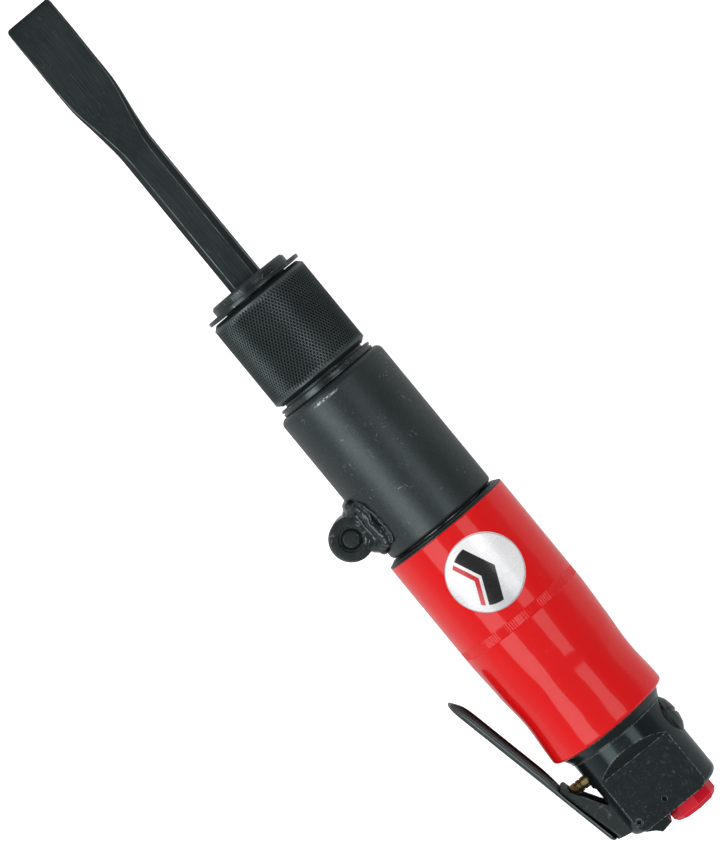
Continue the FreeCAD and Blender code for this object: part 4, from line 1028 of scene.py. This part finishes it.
def make_head(material):
    """The rear head: turned, then milled flats, lever slot and throttle bore."""
    rear = in_mm("rear_head")[1].x
    grip_end = in_mm("grip_sleeve")[1].x
    valve = box_middle("throttle_ball") / MM
    inlet = box_middle("inlet_bush") / MM
    pivot = box_middle("lever_pin") / MM
    outline = rounded([
        (grip_end - 2.5, 0, 0), (grip_end - 2.5, 18.9, 0), (grip_end, 18.9, 0), (grip_end, 21.7, 0.3),
        (grip_end + 3.2, 19.75, 0.8), (grip_end + 3.9, 19.7, 0.25), (grip_end + 4.0, HEAD_RADIUS, 0.1),
        (rear, HEAD_RADIUS, 2.7), (rear, 0, 0),
    ], steps=8)
    piece = finish_mesh("head_milled", lathe(outline, segments=200), material, "tool", ["rear_head"])
    flat, ramp_front, ramp_rear = 12.5, grip_end + 8.9, grip_end + 13.9
    past_rear, past_side = rear + 2, 30
    cuts = []
    for side in (1, -1):
        profile = [
            (ramp_front, HEAD_RADIUS * side), (ramp_rear, flat * side), (past_rear, flat * side),
            (past_rear, 22 * side), (ramp_front, 22 * side),
        ]
        cuts.append(slab(profile, -past_side, past_side, ACROSS))
    slot_front, slot_floor, slot_half = 216.0, -9.6, 7.35
    slot = rounded([
        (slot_front, -past_side, 0), (slot_front, slot_floor, 2.0), (past_rear, slot_floor, 0),
        (past_rear, -past_side, 0),
    ], closed=True)
    cuts.append(slab(slot, -slot_half, slot_half))
    cap_bore, cap_seat = 8.05, 16.4
    pin_bore, pin_floor = 4.55, -10.6
    pivot_bore, inlet_bore, inlet_floor = 1.34, 8.4, 223
    pit_radius, pit_depth = 0.9, 0.8
    cuts.append(slab(disc_outline(valve.x, 0, cap_bore, 72), cap_seat, 25, ALONG_Y))
    cuts.append(slab(disc_outline(valve.x, 0, pin_bore), -25, pin_floor, ALONG_Y))
    cuts.append(slab(disc_outline(pivot.x, pivot.y, pivot_bore, 32), -20, 20))
    cuts.append(slab(disc_outline(inlet.y, 0, inlet_bore, 64), inlet_floor, past_rear, ALONG_X))
    cuts.append(slab(disc_outline(*PIT_AT, pit_radius, 30), flat - pit_depth, flat + 2))
    carve(piece, cuts)
    soften(piece, 0.28)


def make_valve_cap(material):
    """The domed screw cap with one wide slot."""
    low, high = in_mm("valve_cap")
    radius = (high.x - low.x) / 2
    centre_x = (high.x + low.x) / 2
    stem, seat, crown = 7.0, 17.2, 21.3
    outline = rounded([
        (8.0, 5.3, 0), (8.0, stem, 0.3), (seat, stem, 0), (seat, radius, 0.2), (18.9, radius, 0.5),
        (20.6, radius * 0.66, 3.5), (crown, 2.2, 4.0), (crown, 0, 0),
    ], steps=5)
    shape = lathe(outline, segments=96)
    turn_sideways(shape, centre_x)
    piece = finish_mesh("cap_domed", shape, material, "tool", ["valve_cap"])
    slot_turn, slot_floor, half, reach = math.radians(110), 19.3, 1.0, 12
    cos, sin = math.cos(slot_turn), math.sin(slot_turn)
    bar = [(-reach, -half), (reach, -half), (reach, half), (-reach, half)]
    turned = [(x * cos - z * sin + centre_x, x * sin + z * cos) for x, z in bar]
    carve(piece, [slab(turned, slot_floor, 24, ALONG_Y)])
    soften(piece, 0.15)


def make_push_pin(material):
    """The brass pin: a rounded tip and two shallow grooves."""
    low, high = in_mm("valve_pin")
    radius = (high.x - low.x) / 2
    tip, top = low.y, high.y
    outline = [(tip, 0, 0), (tip, radius, 1.1)]
    for start in (tip + 3.0, tip + 4.8):
        outline += [
            (start, radius, 0.08), (start + 0.1, radius - 0.3, 0.05), (start + 0.5, radius - 0.3, 0.05),
            (start + 0.6, radius, 0.08),
        ]
    outline += [(top, radius, 0.2), (top, 0, 0)]
    shape = lathe(rounded(outline, steps=4), segments=56)
    turn_sideways(shape, (box_middle("valve_pin") / MM).x)
    finish_mesh("push_pin_brass", shape, material, "push_pin", ["valve_pin"])


def make_spring_pin(material):
    """The pivot's slotted spring pin with chamfered ends."""
    low, high = in_mm("lever_pin")
    centre = Vector(((low.x + high.x) / 2, (low.y + high.y) / 2, 0))
    half = high.z
    opening, steps = 0.16, 36
    outside, inside = 1.28, 0.76
    angles = [opening + (2 * math.pi - 2 * opening) * k / steps for k in range(steps + 1)]
    section = [(math.cos(angle), math.sin(angle)) for angle in angles]
    shape = bmesh.new()
    rings = []
    for z, grow in ((-half, 0.93), (-half + 0.3, 1.0), (half - 0.3, 1.0), (half, 0.93)):
        reach = outside * grow
        rings.append((
            ring_of(shape, [centre + Vector((reach * c, reach * s, z)) for c, s in section]),
            ring_of(shape, [centre + Vector((inside * c, inside * s, z)) for c, s in section]),
        ))
    for (outer_a, inner_a), (outer_b, inner_b) in zip(rings, rings[1:]):
        join_rings(shape, outer_a, outer_b, closed=False)
        join_rings(shape, inner_a, inner_b, closed=False)
        shape.faces.new((outer_a[0], inner_a[0], inner_b[0], outer_b[0]))
        shape.faces.new((outer_a[-1], outer_b[-1], inner_b[-1], inner_a[-1]))
    for outer, inner in (rings[0], rings[-1]):
        join_rings(shape, outer, inner, closed=False)
    finish_mesh("spring_pin_rolled", shape, material, "tool", ["lever_pin"])


def make_plug(material):
    """The transit plug: eight sides with fine raised corner lines."""
    low, high = in_mm("transit_plug")
    middle = (box_middle("inlet_bush") / MM).y
    face = in_mm("rear_head")[1].x
    rear = high.x
    corner = 9.15
    turn = math.radians(9)
    outline = []
    for k in range(8):
        angle = math.pi / 2 - turn + k * math.pi / 4
        for swing, rise in ((-0.055, -0.16), (-0.022, 0.12), (0.022, 0.12), (0.055, -0.16)):
            at, reach = angle + swing, corner + rise
            outline.append((middle + reach * math.cos(at), reach * math.sin(at), 0.08))
    section = rounded(outline, closed=True, steps=2)
    shape = bmesh.new()
    rings = []
    for x, inset in ((face, 0.0), (rear - 1.7, 0.0), (rear - 0.35, 1.15), (rear, 1.7)):
        scale = (corner - inset) / corner
        rings.append(ring_of(shape, [(x, middle + (y - middle) * scale, z * scale) for y, z in section]))
    skin(shape, rings)
    shape.faces.new(rings[0])
    dish = drawn_in(shape, rings[-1], middle, 0.8, -0.5)
    rim = drawn_in(shape, rings[-1], middle, 0.84, 0.0)
    join_rings(shape, rings[-1], rim)
    join_rings(shape, rim, dish)
    shape.faces.new(dish)
    piece = finish_mesh("plug_moulded", shape, material, "inlet_plug", ["transit_plug"], crease=25)
    joint, radius = face + 0.2, 5.7
    outline = rounded([(low.x, 0, 0), (low.x, radius, 0.4), (joint, radius, 0), (joint, 0, 0)], steps=3)
    shank = lathe(outline, segments=48)
    move_all(shank, Matrix.Translation(Vector((0, middle, 0)) * MM))
    carve(piece, [shank], "UNION")
    smooth(piece, 25)


def drawn_in(shape, ring, middle, scale, shift):
    """A copy of a ring, drawn in towards the axis at y = middle and shifted along X."""
    centre = middle * MM
    return [
        shape.verts.new((v.co.x + shift * MM, centre + (v.co.y - centre) * scale, v.co.z * scale))
        for v in ring
    ]


def make_deflector(material):
    """The exhaust hood behind the head, hollowed along its lower edge."""
    low, high = in_mm("exhaust_deflector")
    face, tip = low.x, high.x
    top, bottom, half = high.y, low.y, high.z
    outline = rounded([
        (face, top, 0), (tip - 0.9, top, 0.4), (tip, top - 4.8, 0.5), (tip - 1.9, top - 6.6, 3.0),
        (face, bottom, 0),
    ], closed=True, steps=5)
    piece = finish_mesh("hood_cast", slab(outline, -half, half), material, "tool", ["exhaust_deflector"])
    soften(piece, 0.35)


# ---------------------------------------------------------------- lever

def lever_frame():
    """From the lever's own frame (x along, y across, z out of its face) to the tool's."""
    pivot = box_middle("lever_pin")
    pivot.z = 0
    slope = Matrix.Rotation(math.radians(11.9), 4, "Z")
    return Matrix.Translation(pivot) @ slope @ Matrix.Rotation(math.radians(90), 4, "X")


def flange(x):
    """How far the side flanges stand above the web at x: none at either end."""
    rise = min(1.0, max(0.0, (x - TIP - GAUGE) / 9.0))
    fall = min(1.0, max(0.0, (-27.0 - x) / 9.0))
    return 0.9 * math.sin(rise * math.pi / 2) * fall ** 0.7


def thinned(x):
    """The share of its full depth the pressing keeps at x: it is thinned towards its tip."""
    return 0.42 + 0.58 * math.sin(min(1.0, (x - TIP) / 7.0) * math.pi / 2)


def lever_levels():
    """The sheet's section from its face round the edge to the channel: inset, drop, flange share."""
    bend = 2.1
    levels = []
    for k in range(7):
        angle = math.radians(15 * k)
        down = 0.90 * (1 - math.cos(angle))
        levels.append((bend - bend * math.sin(angle), GAUGE * down, down))
    levels += [(0.08, GAUGE * 0.97, 0.97), (0.25, GAUGE, 1.0), (GAUGE - 0.3, GAUGE, 1.0)]
    return levels + [(GAUGE, GAUGE, 0.75), (GAUGE + 0.25, GAUGE, 0.2), (GAUGE + 0.75, GAUGE, 0.0)]


def make_lever(material, shaded):
    """The pressed lever: rolled lower edges, flanges that fade at both ends, a channel darkened with painted
    shade.
    """
    plan = rounded([
        (TAIL, -HALF, 2.4), (TIP, -HALF, 6.5), (TIP, HALF, 6.5), (TAIL, HALF, 2.4),
    ], closed=True, steps=12)
    fine = []
    for a, b in zip(plan, plan[1:] + plan[:1]):
        parts = max(1, round((b - a).length / 2.0))
        fine += [a.lerp(b, k / parts) for k in range(parts)]
    count = len(fine)
    inward = []
    for k in range(count):
        along = (fine[(k + 1) % count] - fine[k - 1]).normalized()
        inward.append(Vector((-along.y, along.x)))
    if sum(v.dot(Vector((TIP / 2, 0)) - p) for v, p in zip(inward, fine)) < 0:
        inward = [-v for v in inward]
    levels = lever_levels()
    shape = bmesh.new()
    rings = []
    for inset, drop, share in levels:
        ring = []
        for point, side in zip(fine, inward):
            at = point + side * inset
            deep = (drop + share * flange(point.x)) * thinned(point.x)
            ring.append(shape.verts.new(Vector((at.x, at.y, FACE - deep)) * MM))
        rings.append(ring)
    skin(shape, rings)
    shape.faces.new(rings[0])
    shape.faces.new(rings[-1])
    move_all(shape, lever_frame())
    piece = finish_mesh("lever_pressed", shape, material, "throttle_lever", ["trigger_lever"], crease=40)
    channel_from = (len(levels) - 4) * count
    outer_face = (len(levels) - 1) * count
    channel = [k for k in range(channel_from, len(piece.data.polygons)) if k != outer_face]
    # Painted shade: the channel's inner faces ahead of the bracket take the dark copy.
    paint_shade_ahead(piece, shaded, -28.0, channel)


def paint_shade_ahead(piece, shaded, x, chosen=None):
    """Give the faces ahead of x in the lever's frame (or the chosen ones there) a second material: a darker
    copy that paints shade there.
    """
    piece.data.materials.append(shaded)
    to_lever = lever_frame().inverted()
    polygons = piece.data.polygons
    for k in range(len(polygons)) if chosen is None else chosen:
        if (to_lever @ polygons[k].center).x < x * MM:
            polygons[k].material_index = 1


def make_bracket(material, shaded):
    """The clevis bracket: bent up from sheet, its cheeks cut to a slope."""
    web = FACE - GAUGE
    half = 7.15
    eye = 3.0
    outline = [(-27.0, web, 0), (-28.15, web - 0.5, 0.8), (-28.0, web - 2.2, 0.9), (-26.3, web - 2.2, 0.6)]
    outline += [(-24.8, web - 2.35, 1.0), (-13.8, 3.94, 4.0), (-1.38, -2.66, 0)]
    for k in range(1, 10):
        angle = math.radians(-117 + 14 * k)
        outline.append((eye * math.cos(angle), eye * math.sin(angle), 0))
    outline.append((-1.2, web, 0))
    shape = slab(rounded(outline, closed=True, steps=4), -half, half, ALONG_Y)
    long_edges = []
    for edge in shape.edges:
        a, b = (v.co for v in edge.verts)
        on_web = all(abs(co.z - web * MM) < 1e-7 for co in (a, b))
        if on_web and abs(a.y - b.y) < 1e-7:
            long_edges.append(edge)
    bmesh.ops.bevel(shape, geom=long_edges, offset=1.9 * MM, segments=6, affect="EDGES", profile=0.5)
    move_all(shape, lever_frame())
    piece = finish_mesh("bracket_bent", shape, material, "throttle_lever", ["lever_bracket"])
    across = lever_frame() @ ALONG_Y
    inside = web - GAUGE
    gap = [(-25.8, -6), (6, -6), (6, inside), (-25.8, inside)]
    cuts = [slab(gap, -half + GAUGE, half - GAUGE, across)]
    cuts.append(slab(disc_outline(0, 0, 1.36, 32), -20, 20, across))
    carve(piece, cuts)
    soften(piece, 0.22)
    # Painted shade: the bracket's faces ahead of its cheeks take the dark copy.
    paint_shade_ahead(piece, shaded, -25.0)


# ---------------------------------------------------------------- stage

def make_stage():
    """A pale floor, a soft grey surround, a large softbox, a smaller one and an overhead fill."""
    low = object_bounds()[0][2]
    shape = bmesh.new()
    bmesh.ops.create_grid(shape, x_segments=1, y_segments=1, size=4.0)
    mesh = bpy.data.meshes.new("floor")
    shape.to_mesh(mesh)
    shape.free()
    floor = bpy.data.objects.new("floor", mesh)
    floor.location.z = low - 0.0002
    floor.visible_glossy = False
    bpy.context.scene.collection.objects.link(floor)
    mesh.materials.append(floor_paper())
    make_surround()
    softbox("main_box", -36, 0.10, (1.55, 0.54), MAIN_POWER)
    softbox("side_box", 28, 0.26, (0.46, 0.40), SIDE_POWER)
    fill = softbox("fill", 0, 0.06, (2.4, 2.4), FILL_POWER)
    fill.visible_glossy = False
    bpy.context.scene.view_settings.view_transform = "Standard"


def make_surround():
    """A dim studio overhead; the paper's own light comes up from below the horizon."""
    world = bpy.data.worlds.new("studio")
    world.use_nodes = True
    tree = world.node_tree
    where = add_node(tree, "ShaderNodeTexCoord").outputs["Generated"]
    y, z = split(tree, where, "YZ")
    overhead = band(tree, z, 0.20, 0.70, 0.22, 0.13)
    lever_side = band(tree, y, -0.9, -0.45, 0.22, 0.0)
    low_down = band(tree, z, 0.30, 0.60, 1.0, 0.0)
    paper = band(tree, y, -0.6, 0.6, 0.58, 0.50)
    below = band(tree, z, -0.10, 0.06, 1.0, 0.0)
    open_air = calc(tree, "ADD", overhead, times(tree, lever_side, low_down))
    above = times(tree, open_air, calc(tree, "SUBTRACT", 1.0, below))
    plug_all(tree, tree.nodes["Background"], {
        "Color": (1, 1, 1, 1),
        "Strength": calc(tree, "ADD", above, times(tree, paper, below)),
    })
    bpy.context.scene.world = world


def softbox(name, lean, x, size, power):
    """An area light a metre from the tool's axis, leaning from +Z towards +Y."""
    turn = math.radians(lean)
    aim_at = Vector((x, 0.0, 0.0))
    place_at = aim_at + Vector((0, math.sin(turn), math.cos(turn)))
    data = bpy.data.lights.new(name, "AREA")
    data.shape = "RECTANGLE"
    data.size, data.size_y = size
    data.energy = power
    lamp = bpy.data.objects.new(name, data)
    back = (place_at - aim_at).normalized()
    set_axes(lamp, place_at, AXIS_X, back.cross(AXIS_X), back)
    return lamp


def set_axes(thing, place_at, side, up, back):
    """Put a lamp or camera in the scene, with its own x, y and z along side, up and back."""
    thing.matrix_world = Matrix.Translation(place_at) @ Matrix((side, up, back)).transposed().to_4x4()
    bpy.context.scene.collection.objects.link(thing)


def make_camera():
    """A long lens nearly overhead, the tool running down to the right."""
    tilt = math.radians(CAMERA_TILT)
    place_at = Vector((0.0244, CAMERA_DISTANCE * math.sin(tilt) + 0.0002, CAMERA_DISTANCE * math.cos(tilt)))
    target = Vector((0.0640, -0.0007, 0.0))
    back = (place_at - target).normalized()
    roll = math.radians(CAMERA_ROLL)
    up = Vector((-math.sin(roll), math.cos(roll), 0))
    side = up.cross(back).normalized()
    data = bpy.data.cameras.new("camera")
    data.lens = CAMERA_LENS
    data.sensor_width = 36
    camera = bpy.data.objects.new("camera", data)
    set_axes(camera, place_at, side, back.cross(side), back)
    bpy.context.scene.camera = camera


# ---------------------------------------------------------------- all pieces

def make_object():
    """Every piece of the tool, then new materials for the CAD meshes that stay."""
    phosphated = ((0.052, 0.065, 0.067), BRIGHT_WEAR_AND_HIGHLIGHT, 0.40, 1.0)
    oxide = dark_steel("blackened_steel", (0.042, 0.053, 0.055), DULL_WEAR, 0.34, 0.5, turned=0.6)
    phosphate = dark_steel("phosphated_steel", *phosphated)
    sleeve_low, sleeve_high = in_mm("knurled_sleeve")
    knurl = knurl_steel(sleeve_high.z, KNURL_DEPTH, sleeve_low.x + KNURL_FRONT, sleeve_high.x - KNURL_REAR)
    pressed = dark_steel("pressed_black_steel", (0.048, 0.060, 0.061), DULL_WEAR, 0.34, 0.7)
    head = cast_paint()
    brass = bare_metal("turned_brass", (0.42, 0.34, 0.15), 0.30, (1, 0.2, 1))
    steel = bare_metal("ground_steel", (0.50, 0.52, 0.54), 0.28)
    spring = bare_metal("spring_steel", (0.22, 0.23, 0.24), 0.34)
    rubber = soft_matter("black_rubber", (0.02, 0.02, 0.02), 1500.0, 0.2)
    felt = soft_matter("muffler_felt", (0.30, 0.28, 0.25), 2500.0, 0.8)
    make_chisel(chisel_steel())
    rubbed = (0.38, 0.43, 0.43)
    polished = dark_steel("rubbed_black_steel", (0.046, 0.058, 0.060), rubbed, 0.26, 0.6, wear=1.2)
    make_nose(polished)
    make_nose_washer(polished)
    make_knurled_sleeve(knurl)
    make_lock_ring(polished)
    barrel = dark_steel("barrel_phosphate", *phosphated)
    chip_front_edge(barrel)
    make_barrel(barrel)
    make_eye(polished)
    make_eye_pin(polished)
    make_weld(dark_steel("weld_oxide", (0.050, 0.062, 0.064), BRIGHT_WEAR_AND_HIGHLIGHT, 0.24, 0.4))
    make_collar(phosphate)
    make_grip(red_paint())
    make_badge(badge_foil())
    make_head(head)
    make_valve_cap(oxide)
    make_push_pin(brass)
    make_spring_pin(spring)
    make_plug(moulded_plastic())
    make_deflector(head)
    # A darker, rougher copy of the lever steel, used as painted shade in the lever's channel and on the
    # bracket's front.
    channel = dark_steel("channel_painted_shade", (0.012, 0.016, 0.017), (0.20, 0.24, 0.24), 0.55, 0.7)
    lever = dark_steel("lever_black_steel", (0.064, 0.080, 0.082), BRIGHT_WEAR_AND_HIGHLIGHT, 0.30, 0.7, wear=0.8)
    make_lever(lever, channel)
    make_bracket(pressed, channel)
    kept = {
        "chisel_bush": phosphate, "sleeve_o_ring": rubber, "lock_ball": steel, "thrust_washer": phosphate,
        "cylinder": steel, "piston": steel, "handle_tube": oxide, "exhaust_muffler": felt,
        "valve_box": steel, "valve_plate": spring, "valve_cover": steel, "valve_dowels": spring,
        "preload_washer": spring, "head_o_ring": rubber, "inlet_bush": steel, "inlet_screen": brass,
        "cap_gasket": rubber, "throttle_spring": spring, "throttle_ball": steel, "throttle_seat": brass,
        "pin_guide": steel, "pin_seal": rubber,
    }
    for node, material in kept.items():
        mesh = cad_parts[node].data
        mesh.materials.clear()
        mesh.materials.append(material)


make_camera()
make_object()
make_stage()
